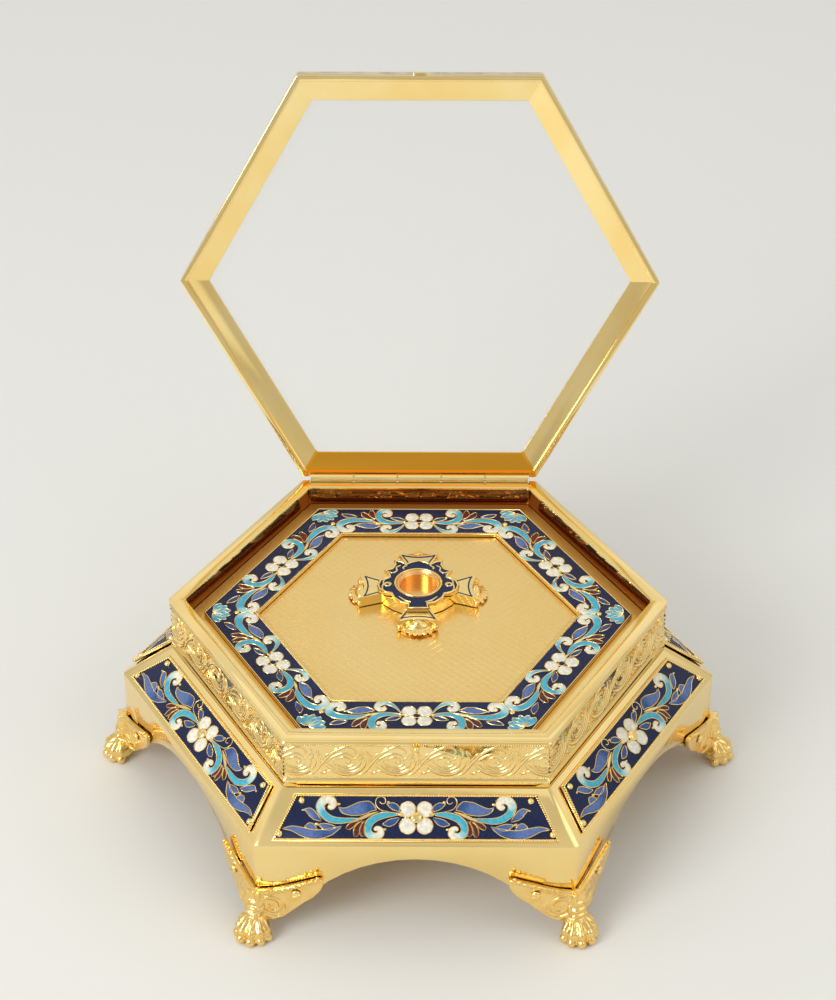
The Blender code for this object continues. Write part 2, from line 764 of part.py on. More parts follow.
def make_hinge(root, lid, into_lid):
    """Five-knuckle hinge: a leaf on the case, a leaf with stop lugs on the lid, and the pin."""
    case_knuckles = range(0, KNUCKLES, 2)
    lid_knuckles = range(1, KNUCKLES, 2)
    add_object("hinge_leaf_case", hinge_leaf(-1, case_knuckles, lid_knuckles, []), GOLD, root)
    closing = Matrix.Translation((0, HINGE_Y, HINGE_Z)) @ OPENED.inverted() @ into_lid
    lug_inside = LEAF_OUTSIDE + GAP
    lugs = []
    for number in lid_knuckles:
        middle = sum(knuckle_span(number)) / 2
        lug = box_mesh((middle - STOP_WIDTH / 2, lug_inside, HINGE_Z - STOP_REACH),
                       (middle + STOP_WIDTH / 2, lug_inside + STOP_THICKNESS, HINGE_Z - BORE_RADIUS))
        lugs.append(placed(lug, closing))
    leaf = hinge_leaf(1, lid_knuckles, case_knuckles, lugs)
    add_object("hinge_leaf_lid", leaf, GOLD, lid, into_lid)
    pin = along_x(PIN_RADIUS, -HINGE_LENGTH / 2, HINGE_LENGTH / 2, HINGE_Y, HINGE_Z, PIN_STEPS)
    add_object("hinge_pin", pin, GOLD, root)


def make_lid(lid, into_lid):
    """Lid frame with its flange and rubbed-over bezel, and the glass between the two."""
    opening = LID_WALL_INSIDE - LID_FLANGE_WIDTH + LID_LIP_WIDTH
    bezel = LID_WALL_INSIDE - LID_BEZEL_WIDTH
    profile = [
        (CASE_SIDE, LID_BOTTOM),
        (CASE_SIDE, LID_TOP),
        (bezel, LID_TOP),
        (bezel, LID_BEZEL_BOTTOM),
        (LID_WALL_INSIDE, LID_BEZEL_BOTTOM),
        (LID_WALL_INSIDE, LID_FLANGE_TOP),
        (opening, LID_FLANGE_TOP),
        (opening, LID_FLANGE_BOTTOM),
        (LID_WALL_INSIDE, LID_FLANGE_BOTTOM),
        (LID_WALL_INSIDE, LID_BOTTOM),
    ]
    half = THUMB_TAB_WIDTH / 2
    tab = box_mesh((-half, -CASE_SIDE - THUMB_TAB_REACH, LID_BOTTOM),
                   (half, -CASE_SIDE + THUMB_TAB_REACH, LID_BOTTOM + THUMB_TAB_THICKNESS))
    frame = combined(six_sided(profile, CASE_CORNER_ROUND), [tab], "UNION")
    frame = combined(frame, [hinge_rebate()])
    add_object("lid_frame", frame, GOLD, lid, into_lid)
    low = LID_FLANGE_TOP + GAP
    glass = hexagon_plate(LID_WALL_INSIDE - GAP, low, low + GLASS_THICKNESS, CASE_CORNER_ROUND)
    add_object("lid_glass", glass, GLASS, lid, into_lid)


def foot_mesh():
    """Lion paw with four toes under a bracket of two wings, for the corner along +X."""
    outline = [(share * WING_LENGTH, height * WING_TOP) for share, height in WING_SHAPE]
    wing = flat_plate([outline], GAP, GAP + WING_SHEET)
    wing = combined(placed(wing, wall_frame(0, 1)), [screw_hole(FOOT_SCREW_RADIUS, foot_screw_frame(0, 1))])
    half = working_object(wing)
    mirror = half.modifiers.new("Other wing", "MIRROR")
    mirror.use_axis = (False, True, False)
    mirror.use_bisect_axis = (False, True, False)
    mirror.merge_threshold = MERGE
    wings = settled_mesh(half)
    bpy.data.objects.remove(half)
    heel = SKIRT_CORNER - PAW_WIDTH * 0.05
    toe_top = PAW_HEIGHT * 0.36
    body = [
        ball_mesh((heel + PAW_REACH * 0.42, 0, toe_top), (PAW_REACH * 0.52, PAW_WIDTH * 0.44, PAW_HEIGHT * 0.64),
                  8, 4),
        ball_mesh((heel + PAW_REACH * 0.12, 0, PAW_HEIGHT), (PAW_REACH * 0.36, PAW_WIDTH * 0.28, PAW_HEIGHT * 0.55),
                  6, 4),
        ball_mesh((SKIRT_CORNER + WING_SHEET, 0, WING_TOP * 0.54), (WING_SHEET * 1.5, PAW_WIDTH * 0.22, WING_TOP * 0.24),
                  6, 4),
    ]
    for share, forward in TOES:
        for hand in (1, -1):
            middle = (heel + PAW_REACH * forward, hand * share * PAW_WIDTH, toe_top * 0.90)
            radii = (PAW_REACH * 0.42, PAW_WIDTH * 0.145, PAW_HEIGHT * 0.42)
            body.append(ball_mesh(middle, radii, 6, 4))
    joined = combined(wings, body, "UNION")
    below = box_mesh((0, -WING_LENGTH, -WING_TOP), (2 * SKIRT_CORNER, WING_LENGTH, 0))
    skirt = hexagon_plate(SKIRT_SIDE + GAP, SKIRT_BOTTOM - GAP, LANDING, SKIRT_CORNER_ROUND)
    return combined(joined, [below, skirt])


def make_feet(root):
    """Six feet and the two screws that hold each to the skirt."""
    foot = foot_mesh()
    seat = Matrix.Translation((0, 0, GAP + WING_SHEET + GAP))
    screw = screw_mesh(FOOT_SCREW_RADIUS, GAP + WING_SHEET + PLINTH_SHEET, math.radians(20))
    for index in range(SIDES):
        add_object(f"foot_{index + 1}", foot, CAST_GOLD, root, side_turn(index))
        for side, hand in enumerate((1, -1)):
            name = f"foot_screw_{2 * index + side + 1}"
            add_object(name, screw, GOLD, root, foot_screw_frame(index, hand) @ seat)


def rest_on_origin(root):
    """Moves the casket so that its box stands centred on the origin."""
    bpy.context.view_layer.update()
    corners = []
    for obj in CASKET.objects:
        if obj.type == "MESH":
            corners.extend(obj.matrix_world @ vert.co for vert in obj.data.vertices)
    low = [min(point[axis] for point in corners) for axis in range(3)]
    high = [max(point[axis] for point in corners) for axis in range(3)]
    root.location = (-(low[0] + high[0]) / 2, -(low[1] + high[1]) / 2, -low[2])


def main():
    """Builds the casket with its lid open on the stop."""
    root = empty("casket", Matrix.Identity(4))
    lid = empty("lid_hinge", Matrix.Translation((0, HINGE_Y, HINGE_Z)) @ OPENED, root)
    into_lid = Matrix.Translation((0, -HINGE_Y, -HINGE_Z))
    make_plinth(root)
    make_plaques(root)
    make_case(root)
    make_tray(root)
    make_cross(root)
    make_hinge(root, lid, into_lid)
    make_lid(lid, into_lid)
    make_feet(root)
    rest_on_origin(root)


main()
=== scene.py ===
"""Dresses the gilt six-sided reliquary casket: enamel cells and wires, chased band, cast feet, glass and studio.

Sizes in this file are millimetres unless a name says otherwise, and are turned into metres where a mesh is made.
"""

import logging
import math
from collections.abc import Iterator, Sequence
from contextlib import contextmanager
from dataclasses import dataclass, replace
from enum import Enum

import bpy
from mathutils import Matrix, Vector


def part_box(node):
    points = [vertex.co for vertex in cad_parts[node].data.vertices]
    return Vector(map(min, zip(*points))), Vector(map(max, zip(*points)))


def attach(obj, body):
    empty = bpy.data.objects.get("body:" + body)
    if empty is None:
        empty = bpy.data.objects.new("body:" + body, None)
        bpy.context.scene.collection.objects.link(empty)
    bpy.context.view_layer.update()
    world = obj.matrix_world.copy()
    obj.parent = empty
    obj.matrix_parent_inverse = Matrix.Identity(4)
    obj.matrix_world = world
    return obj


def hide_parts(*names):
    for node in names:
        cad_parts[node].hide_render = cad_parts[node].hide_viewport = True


LOG = logging.getLogger("casket")

MM = 0.001
SIDES = 6

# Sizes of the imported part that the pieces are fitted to
CASE_SIDE = 77.942
SKIRT_CORNER = 108.591
SKIRT_SIDE = 94.042
LANDING = 50.5
RIM = 72.0
SLOPE_ANGLE = math.atan2(12.1, 16.1)
SLOPE_MIDDLE = 10.47
RING_MIDDLE = 58.63
RING_TOP = 66.0
PLATE_TOP = 1.3
CROSS_SETBACK = 12.7
CARTOUCHE_TOP = 70.6

Point = tuple[float, float]
Colour = tuple[float, float, float]


class Body(Enum):
    """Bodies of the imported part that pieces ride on."""

    CASE = "case"
    LID = "lid"


class Slot(Enum):
    """Material slot names."""

    GILT = "gilt"
    CAST = "cast_gilt"
    COPPER = "copper_gilt"
    ENAMEL = "enamel"
    GLASS = "glass"


class Glaze(Enum):
    """Enamel colours, as linear red, green and blue."""

    NAVY = (0.008, 0.014, 0.052)
    DUSK = (0.030, 0.030, 0.110)
    TURQUOISE = (0.060, 0.440, 0.620)
    PALE = (0.480, 0.760, 0.760)
    WHITE = (0.860, 0.830, 0.700)
    LILAC = (0.100, 0.175, 0.400)
    BLUE = (0.030, 0.085, 0.270)
    MAROON = (0.110, 0.012, 0.010)


# ---- Finishes


class Level:
    """A value on a shader socket that takes part in sums as a number does."""

    def __init__(self, paint: "Paint", socket: bpy.types.NodeSocket) -> None:
        """Wraps the socket of a paint."""
        self.paint = paint
        self.socket = socket

    def __add__(self, other: "Level | float") -> "Level":
        """Sum."""
        return self.paint.sum("ADD", self, other)

    def __radd__(self, other: float) -> "Level":
        """Sum, the number first."""
        return self.paint.sum("ADD", other, self)

    def __sub__(self, other: "Level | float") -> "Level":
        """Difference."""
        return self.paint.sum("SUBTRACT", self, other)

    def __rsub__(self, other: float) -> "Level":
        """Difference, the number first."""
        return self.paint.sum("SUBTRACT", other, self)

    def __mul__(self, other: "Level | float") -> "Level":
        """Product."""
        return self.paint.sum("MULTIPLY", self, other)

    def __rmul__(self, other: float) -> "Level":
        """Product, the number first."""
        return self.paint.sum("MULTIPLY", other, self)

    def __pow__(self, other: float) -> "Level":
        """Power."""
        return self.paint.sum("POWER", self, other)

    def sine(self) -> "Level":
        """Sine."""
        return self.paint.sum("SINE", self)

    def size(self) -> "Level":
        """Size without the sign."""
        return self.paint.sum("ABSOLUTE", self)


class Paint:
    """A procedural material and the nodes that it is made of."""

    def __init__(self, name: str) -> None:
        """Starts a material with a Principled shader."""
        self.material = bpy.data.materials.new(name)
        self.material.use_nodes = True
        self.tree = self.material.node_tree
        self.shader = self.tree.nodes["Principled BSDF"]

    def node(self, kind: str, settings: dict | None = None, sockets: dict | None = None) -> bpy.types.Node:
        """Adds a node.

        Args:
            kind: the node's type.
            settings: its properties; "stops" are the places and colours of a ramp.
            sockets: values or links of its sockets, by name or number.

        Returns:
            The node.
        """
        made = self.tree.nodes.new(kind)
        for name, value in (settings or {}).items():
            if name == "stops":
                stops = made.color_ramp.elements
                while len(stops) < len(value):
                    stops.new(0.5)
                for stop, (place, colour) in zip(stops, value):
                    stop.position = place
                    stop.color = (*colour, 1.0)
            else:
                setattr(made, name, value)
        for name, value in (sockets or {}).items():
            self.put(made.inputs[name], value)
        return made

    def put(self, socket: bpy.types.NodeSocket, value: object) -> None:
        """Links or sets a socket."""
        if isinstance(value, Level):
            value = value.socket
        if isinstance(value, bpy.types.NodeSocket):
            self.tree.links.new(value, socket)
        elif isinstance(value, tuple) and socket.type == "RGBA":
            socket.default_value = (*value, 1.0)
        else:
            socket.default_value = value

    def sum(self, operation: str, *values: "Level | float") -> Level:
        """Adds a Math node and gives its result."""
        made = self.node("ShaderNodeMath", {"operation": operation}, dict(enumerate(values)))
        return Level(self, made.outputs[0])

    def place(self) -> bpy.types.NodeSocket:
        """Place on the piece, in metres."""
        return self.node("ShaderNodeTexCoord").outputs["Object"]

    def cloud(self, scale: float, detail: float = 3.0, rough: float = 0.5) -> Level:
        """Noise of that many spots to the metre."""
        made = self.node("ShaderNodeTexNoise", None,
                         {"Vector": self.place(), "Scale": scale, "Detail": detail, "Roughness": rough})
        return Level(self, made.outputs["Fac"])

    def mix(self, share: Level, first: object, second: object) -> bpy.types.NodeSocket:
        """Colour between two."""
        made = self.node("ShaderNodeMix", {"data_type": "RGBA"}, {0: share, 6: first, 7: second})
        return made.outputs[2]

    def spread(self, value: Level, low: float, high: float) -> Level:
        """Stretches a noise so that its middle part runs from low to high."""
        made = self.node("ShaderNodeMapRange", {"clamp": True},
                         {"Value": value, "From Min": 0.35, "From Max": 0.65, "To Min": low, "To Max": high})
        return Level(self, made.outputs["Result"])

    def relief(self, height: Level, depth_mm: float, strength: float = 1.0) -> None:
        """Feeds a height to the shader's normal."""
        made = self.node("ShaderNodeBump", None,
                         {"Strength": strength, "Distance": depth_mm * MM, "Height": height})
        self.put(self.shader.inputs["Normal"], made.outputs["Normal"])

    def set(self, **sockets: object) -> None:
        """Sets the shader's sockets, named with _ for a space."""
        for name, value in sockets.items():
            self.put(self.shader.inputs[name.replace("_", " ")], value)


@dataclass(frozen=True)
class Gilding:
    """Gilt metal, from mirror bright to satin."""

    name: str
    light: Colour = (1.000, 0.780, 0.355)
    deep: Colour = (0.975, 0.710, 0.270)
    bright: float = 0.05
    dull: float = 0.11
    grain_mm: float = 0.004

    def material(self) -> bpy.types.Material:
        """Cloudy gold with fine polishing marks."""
        paint = Paint(self.name)
        broad = paint.spread(paint.cloud(45.0), 0.0, 1.0)
        fine = paint.cloud(2600.0, 2.0)
        paint.set(
            Base_Color=paint.mix(broad * 0.6 + fine * 0.4, self.deep, self.light),
            Metallic=1.0,
            Roughness=paint.spread(paint.cloud(160.0), self.bright, self.dull),
        )
        paint.relief(fine, self.grain_mm)
        return paint.material


@dataclass(frozen=True)
class WallGilding:
    """Mirror gilding whose inside faces, below the rim, carry a painted dark red-brown reflection."""

    name: str
    middle_y: float
    outside: Gilding = Gilding("polished gilding")
    # painted reflection: dark red-brown colour of the inside faces below the rim
    inside: Colour = (0.250, 0.095, 0.025)
    panel_side: float = 73.2
    rim: float = 71.4

    def material(self) -> bpy.types.Material:
        """Bright gold outside and on the rim, painted dark red-brown reflection within."""
        paint = Paint(self.name)
        parts = paint.node("ShaderNodeSeparateXYZ", None, {0: paint.place()})
        across = Level(paint, parts.outputs["X"])
        along = Level(paint, parts.outputs["Y"]) - self.middle_y * MM
        lean = (across * math.cos(math.radians(30))).size() + (along * 0.5).size()
        within = paint.sum("LESS_THAN", paint.sum("MAXIMUM", lean, along.size()), self.panel_side * MM)
        below = paint.sum("LESS_THAN", Level(paint, parts.outputs["Z"]), self.rim * MM)
        cloud = paint.spread(paint.cloud(45.0), 0.0, 1.0)
        gold = paint.mix(cloud, self.outside.deep, self.outside.light)
        # painted reflection: the inside faces below the rim get the dark red-brown colour in place of mirrored
        # surroundings
        paint.set(
            Base_Color=paint.mix(within * below, gold, self.inside),
            Metallic=1.0,
            Roughness=paint.spread(paint.cloud(160.0), self.outside.bright, self.outside.dull),
        )
        paint.relief(paint.cloud(2600.0, 2.0), self.outside.grain_mm)
        return paint.material


@dataclass(frozen=True)
class RailGilding:
    """Mirror gilding of the open lid, with a painted orange reflection on the rail beside the hinge."""

    name: str
    outside: Gilding = Gilding("polished gilding")
    # painted reflection: orange of gold mirrored in gold on the rail beside the hinge
    hinge_rail_painted_reflection: Colour = (1.000, 0.470, 0.040)
    lid_reach: float = 80.0

    def material(self) -> bpy.types.Material:
        """Bright gold, with a painted orange reflection between the two mitres of the lowest rail."""
        paint = Paint(self.name)
        parts = paint.node("ShaderNodeSeparateXYZ", None, {0: paint.place()})
        across = Level(paint, parts.outputs["X"]).size()
        height = Level(paint, parts.outputs["Z"]) - RIM * MM
        low = paint.sum("LESS_THAN", height + across * math.sqrt(3), self.lid_reach * MM)
        cloud = paint.spread(paint.cloud(45.0), 0.0, 1.0)
        gold = paint.mix(cloud, self.outside.deep, self.outside.light)
        # painted reflection: the lowest rail gets the orange colour of gold mirrored in gold
        paint.set(
            Base_Color=paint.mix(low, gold, self.hinge_rail_painted_reflection),
            Metallic=1.0,
            Roughness=paint.spread(paint.cloud(160.0), self.outside.bright, self.outside.dull),
        )
        paint.relief(paint.cloud(2600.0, 2.0), self.outside.grain_mm)
        return paint.material


@dataclass(frozen=True)
class Chasing:
    """Cast and chased gilt metal, darker in its hollows' grain and pitted by the punches."""

    name: str
    light: Colour = (1.000, 0.750, 0.310)
    deep: Colour = (0.940, 0.600, 0.170)
    rough: float = 0.17
    pits_mm: float = 0.07

    def material(self) -> bpy.types.Material:
        """Gold with soft dents and a fine punched grain."""
        paint = Paint(self.name)
        broad = paint.spread(paint.cloud(300.0), 0.0, 1.0)
        fine = paint.cloud(1700.0, 4.0, 0.6)
        paint.set(
            Base_Color=paint.mix(broad * 0.5 + fine * 0.5, self.deep, self.light),
            Metallic=1.0,
            Roughness=paint.spread(paint.cloud(500.0), self.rough * 0.7, self.rough * 1.3),
        )
        paint.relief(broad * 0.6 + fine * 0.4, self.pits_mm)
        return paint.material


@dataclass(frozen=True)
class Lattice:
    """Satin gilt sheet with a fine engraved net of crossing lines, and a rougher orange gold margin round it, its
    orange partly painted reflection.
    """

    name: str
    middle_y: float
    panel_side: float = 50.6
    pitch_mm: float = 3.5
    light: Colour = (1.000, 0.750, 0.330)
    deep: Colour = (0.960, 0.670, 0.250)
    # margin colour: gold tone, deepened to orange as painted reflection
    painted_reflection_margin: Colour = (1.000, 0.640, 0.170)

    def material(self) -> bpy.types.Material:
        """Gold with two sets of slanting lines in the middle panel, and a rougher orange gold outside it, partly
        painted reflection.
        """
        paint = Paint(self.name)
        parts = paint.node("ShaderNodeSeparateXYZ", None, {0: paint.place()})
        across = Level(paint, parts.outputs["X"])
        along = Level(paint, parts.outputs["Y"]) - self.middle_y * MM
        lean = (across * math.cos(math.radians(30))).size() + (along * 0.5).size()
        reach = paint.sum("MAXIMUM", lean, along.size())
        painted_reflection_margin = paint.sum("GREATER_THAN", reach, self.panel_side * MM)
        turned = math.pi / (self.pitch_mm * MM)
        net = paint.sum("MINIMUM", ((across + along) * turned).sine().size(), ((across - along) * turned).sine().size())
        lines = (1 - paint.sum("MINIMUM", net * 7.0, 1.0)) * (1 - painted_reflection_margin)
        broad = paint.spread(paint.cloud(30.0), 0.0, 1.0)
        fine = paint.cloud(2400.0, 2.0)
        panel = paint.mix(broad * 0.5 + lines * 0.4, self.deep, self.light)
        # painted reflection: the margin's deep orange stands partly for gold mirrored in the gold round it
        paint.set(
            Base_Color=paint.mix(painted_reflection_margin, panel, self.painted_reflection_margin),
            Metallic=1.0,
            Roughness=(0.22 + 0.05 * broad - 0.08 * lines) * (1 - painted_reflection_margin) + painted_reflection_margin * 0.38,
        )
        paint.relief(fine * 0.10 * (1 - painted_reflection_margin) + lines * 0.6, 0.035)
        return paint.material


@dataclass(frozen=True)
class Enamel:
    """Fired enamel ground of one colour, with soft clouds and a slightly uneven gloss."""

    name: str
    light: Colour = (0.011, 0.019, 0.068)
    deep: Colour = Glaze.NAVY.value
    gilt: Colour = (1.000, 0.680, 0.240)
    gilt_below: float = 0.0

    def material(self) -> bpy.types.Material:
        """Glassy colour on top, with the gilt edge of the metal plate below a height."""
        paint = Paint(self.name)
        broad = paint.spread(paint.cloud(110.0, 5.0), 0.0, 1.0)
        fine = paint.cloud(1500.0, 3.0)
        parts = paint.node("ShaderNodeSeparateXYZ", None, {0: paint.place()})
        edge = paint.sum("LESS_THAN", Level(paint, parts.outputs["Z"]), self.gilt_below * MM)
        paint.set(
            Base_Color=paint.mix(edge, paint.mix(broad, self.deep, self.light), self.gilt),
            Metallic=edge,
            Roughness=0.18 + 0.16 * fine,
            Specular_IOR_Level=0.22,
        )
        paint.relief(broad * 0.7 + fine * 0.3, 0.03)
        return paint.material


@dataclass(frozen=True)
class PaintedCells:
    """Enamel whose colour is painted on the piece's points, so that it runs along each cell."""

    name: str
    attribute: str = "Glaze"

    def material(self) -> bpy.types.Material:
        """Glassy colours that flow into one another."""
        paint = Paint(self.name)
        colour = paint.node("ShaderNodeAttribute", {"attribute_name": self.attribute}).outputs["Color"]
        cloud = paint.spread(paint.cloud(900.0, 4.0), 0.80, 1.06)
        shade = paint.node("ShaderNodeVectorMath", {"operation": "SCALE"}, {0: colour, "Scale": cloud})
        paint.set(Base_Color=shade.outputs[0], Roughness=0.20 + 0.15 * paint.cloud(1500.0),
                  Specular_IOR_Level=0.35)
        paint.relief(paint.cloud(1300.0), 0.02)
        return paint.material


@dataclass(frozen=True)
class ClearPane:
    """Clear glass that shows mostly by what it mirrors."""

    name: str
    colour: Colour = (0.86, 0.90, 0.88)

    def material(self) -> bpy.types.Material:
        """See-through in front, bright at a glancing angle, with faint smears."""
        paint = Paint(self.name)
        gloss = Level(paint, paint.node("ShaderNodeFresnel", None, {"IOR": 1.45}).outputs[0])
        smear = paint.cloud(25.0)
        paint.set(
            Base_Color=paint.mix(smear, self.colour, (0.80, 0.84, 0.82)),
            Roughness=0.01 + 0.03 * smear,
            Alpha=0.02 + 0.02 * smear + gloss * 0.5,
        )
        return paint.material


@dataclass(frozen=True)
class StudioFloor:
    """Pale paper that the casket stands on."""

    name: str
    colour: Colour = (0.80, 0.80, 0.765)

    def material(self) -> bpy.types.Material:
        """Matt paper with hardly visible clouds."""
        paint = Paint(self.name)
        darker = tuple(0.985 * part for part in self.colour)
        paint.set(Base_Color=paint.mix(paint.cloud(3.0), self.colour, darker), Roughness=0.9)
        return paint.material


class Finishes:
    """All finishes of the casket, each made once."""

    def __init__(self, middle_y: float) -> None:
        """Makes the materials for a hexagon with its middle there."""
        self.mirror = Gilding("polished gilding").material()
        self.walls = WallGilding("case gilding", middle_y).material()
        self.rails = RailGilding("lid gilding").material()
        self.satin = Gilding("satin gilding", bright=0.14, dull=0.26, grain_mm=0.04).material()
        self.wire = Gilding("gilt wire", bright=0.16, dull=0.26, grain_mm=0.01).material()
        self.cast = Chasing("cast gilding").material()
        self.band = Chasing("chased band", (1.0, 0.79, 0.37), (0.95, 0.67, 0.25), 0.18, 0.04).material()
        self.lattice = Lattice("engraved tray", middle_y).material()
        self.copper = Gilding("copper gilding", (0.97, 0.60, 0.24), (0.88, 0.48, 0.16), 0.22, 0.32).material()
        self.navy = Enamel("navy enamel").material()
        self.ring_plate = Enamel("ring plate", gilt_below=RING_TOP - 0.15).material()
        self.cartouche_plate = Enamel("cartouche plate", gilt_below=CARTOUCHE_TOP - 0.15).material()
        self.cells = PaintedCells("painted enamel").material()
        self.pane = ClearPane("clear pane").material()
        self.floor = StudioFloor("studio floor").material()


# ---- Modelling by hand


def pick(obj: bpy.types.Object) -> None:
    """Makes an object the only selected one, and active."""
    bpy.ops.object.select_all(action="DESELECT")
    obj.select_set(True)
    bpy.context.view_layer.objects.active = obj


@contextmanager
def editing(obj: bpy.types.Object) -> Iterator[None]:
    """Edit mode of one object, with all of it selected."""
    pick(obj)
    bpy.ops.object.mode_set(mode="EDIT")
    bpy.ops.mesh.select_all(action="SELECT")
    yield
    bpy.ops.object.mode_set(mode="OBJECT")


def modified(obj: bpy.types.Object, kind: str, **settings: object) -> None:
    """Adds a modifier and applies it."""
    step = obj.modifiers.new(kind.title(), kind)
    for name, value in settings.items():
        setattr(step, name, value)
    pick(obj)
    bpy.ops.object.modifier_apply(modifier=step.name)


def tidied(obj: bpy.types.Object, weld_mm: float = 0.002) -> None:
    """Welds double points and turns all faces outwards."""
    with editing(obj):
        bpy.ops.mesh.remove_doubles(threshold=weld_mm * MM)
        bpy.ops.mesh.normals_make_consistent(inside=False)


def smoothed(obj: bpy.types.Object, degrees: float = 35.0) -> None:
    """Shades an object smooth below an angle."""
    pick(obj)
    bpy.ops.object.shade_smooth_by_angle(angle=math.radians(degrees))


def joined(name: str, parts: Sequence[bpy.types.Object]) -> bpy.types.Object:
    """Joins objects into one."""
    for spare in [mesh for mesh in bpy.data.meshes if mesh.users == 0]:
        bpy.data.meshes.remove(spare)
    pick(parts[0])
    for part in parts:
        part.select_set(True)
    if len(parts) > 1:
        bpy.ops.object.join()
    made = bpy.context.view_layer.objects.active
    made.name = name
    made.data.name = name
    return made


def copied(obj: bpy.types.Object, where: Matrix) -> bpy.types.Object:
    """Copy of an object with its own mesh, moved to a frame."""
    made = bpy.data.objects.new(obj.name, obj.data.copy())
    made.data.transform(where)
    if where.determinant() < 0:
        made.data.flip_normals()
    bpy.context.scene.collection.objects.link(made)
    return made


def repeated(name: str, obj: bpy.types.Object, places: Sequence[Matrix]) -> bpy.types.Object:
    """Copies an object to every place and joins the copies; the original goes."""
    copies = [copied(obj, where) for where in places]
    bpy.data.objects.remove(obj)
    return joined(name, copies)


def placed(obj: bpy.types.Object, where: Matrix) -> bpy.types.Object:
    """Moves an object's mesh to a frame, its own place first."""
    obj.data.transform(where @ obj.matrix_world)
    obj.matrix_world = Matrix.Identity(4)
    return obj


def shift(x: float, y: float, z: float) -> Matrix:
    """Frame moved by millimetres."""
    return Matrix.Translation((x * MM, y * MM, z * MM))


def turn(degrees: float, axis: str) -> Matrix:
    """Frame turned about an axis."""
    return Matrix.Rotation(math.radians(degrees), 4, axis)


def ball(radii: tuple[float, float, float], middle: tuple[float, float, float], around: int = 16,
         rings: int = 10) -> bpy.types.Object:
    """Ellipsoid, its place in its mesh."""
    bpy.ops.mesh.primitive_uv_sphere_add(segments=around, ring_count=rings, radius=MM)
    made = bpy.context.object
    return placed(made, shift(*middle) @ Matrix.Diagonal((*radii, 1.0)))


def lathe(name: str, profile: Sequence[Point], steps: int = 64) -> bpy.types.Object:
    """Turns a line of (radius, height) points round Z, from axis to axis."""
    bpy.ops.mesh.primitive_plane_add(size=MM)
    made = bpy.context.object
    made.name = name
    with editing(made):
        bpy.ops.mesh.merge(type="CENTER")
        bpy.ops.transform.translate(value=(profile[0][0] * MM, 0, profile[0][1] * MM))
        for (r0, z0), (r1, z1) in zip(profile, profile[1:]):
            bpy.ops.mesh.extrude_region_move(
                TRANSFORM_OT_translate={"value": ((r1 - r0) * MM, 0, (z1 - z0) * MM)})
        bpy.ops.mesh.select_all(action="SELECT")
        bpy.ops.mesh.spin(steps=steps, angle=2 * math.pi, center=(0, 0, 0), axis=(0, 0, 1))
    tidied(made)
    return made


def refined(node: str, name: str, round_mm: float, segments: int = 2) -> bpy.types.Object:
    """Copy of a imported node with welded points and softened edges.

    Args:
        node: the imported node.
        name: the name of the new piece.
        round_mm: width of the rounded edges.
        segments: steps across a rounded edge.

    Returns:
        The new piece.
    """
    made = bpy.data.objects.new(name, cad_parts[node].data.copy())
    bpy.context.scene.collection.objects.link(made)
    with editing(made):
        bpy.ops.mesh.remove_doubles(threshold=0.002 * MM)
        bpy.ops.mesh.dissolve_limited(angle_limit=math.radians(0.6))
    modified(made, "BEVEL", width=round_mm * MM, segments=segments, limit_method="ANGLE",
             angle_limit=math.radians(32), use_clamp_overlap=True)
    smoothed(made, 32)
    return made


@dataclass(frozen=True)
class Stroke:
    """A curved cell or ridge: its middle line, its half width and its colour along it."""

    path: tuple[Point, ...]
    widths: tuple[float, ...]
    glazes: tuple[Glaze, ...] = (Glaze.WHITE,)
    wired: bool = True
    fine: int = 4

    def mirrored(self) -> "Stroke":
        """The same on the other side of the Y axis."""
        return replace(self, path=tuple((-x, y) for x, y in self.path))

    def moved(self, dx: float, dy: float) -> "Stroke":
        """The same, moved."""
        return replace(self, path=tuple((x + dx, y + dy) for x, y in self.path))

    def samples(self) -> list[tuple[Vector, float, Colour]]:
        """Points of a smooth line through the path, each with half width and colour."""
        path = [Vector(point) for point in self.path]
        ends = [path[0] * 2 - path[1], *path, path[-1] * 2 - path[-2]]
        line = []
        for a, b, c, d in zip(ends, ends[1:], ends[2:], ends[3:]):
            for step in range(self.fine):
                t = step / self.fine
                line.append(0.5 * (2 * b + (c - a) * t + (2 * a - 5 * b + 4 * c - d) * t * t
                                   + (3 * b - a - 3 * c + d) * t * t * t))
        line.append(path[-1])
        last = len(line) - 1
        colours = [glaze.value for glaze in self.glazes]
        return [(point, between(self.widths, i / last), blended(colours, i / last))
                for i, point in enumerate(line)]

    def outline(self) -> list[Vector]:
        """Closed line round the stroke."""
        line = self.samples()
        left, right = [], []
        for i, (point, half, _) in enumerate(line):
            ahead = line[min(i + 1, len(line) - 1)][0] - line[max(i - 1, 0)][0]
            side = Vector((-ahead.y, ahead.x)).normalized() * half
            left.append(point + side)
            right.append(point - side)
        return left + right[::-1]


def petal(x: float, y: float, radius: float) -> Stroke:
    """Round white petal whose middle lies at a place, its root towards the flower's heart."""
    away = Vector((x, y)).normalized() * radius
    ends = tuple(tuple(Vector((x, y)) + away * share) for share in (-1.0, 0.0, 1.0))
    widths = tuple(radius * math.sqrt(max(0.0, 1 - (step / 5 - 1) ** 2)) + 0.04 for step in range(11))
    return Stroke(ends, widths, (Glaze.WHITE,), fine=9)


def between(values: Sequence[float], share: float) -> float:
    """Value at a share of the way along evenly spaced values."""
    if len(values) == 1:
        return values[0]
    at = min(share * (len(values) - 1), len(values) - 1.000001)
    low = int(at)
    return values[low] + (values[low + 1] - values[low]) * (at - low)


def blended(colours: Sequence[Colour], share: float) -> Colour:
    """Colour at a share of the way along evenly spaced colours."""
    return tuple(between([colour[part] for colour in colours], share) for part in range(3))


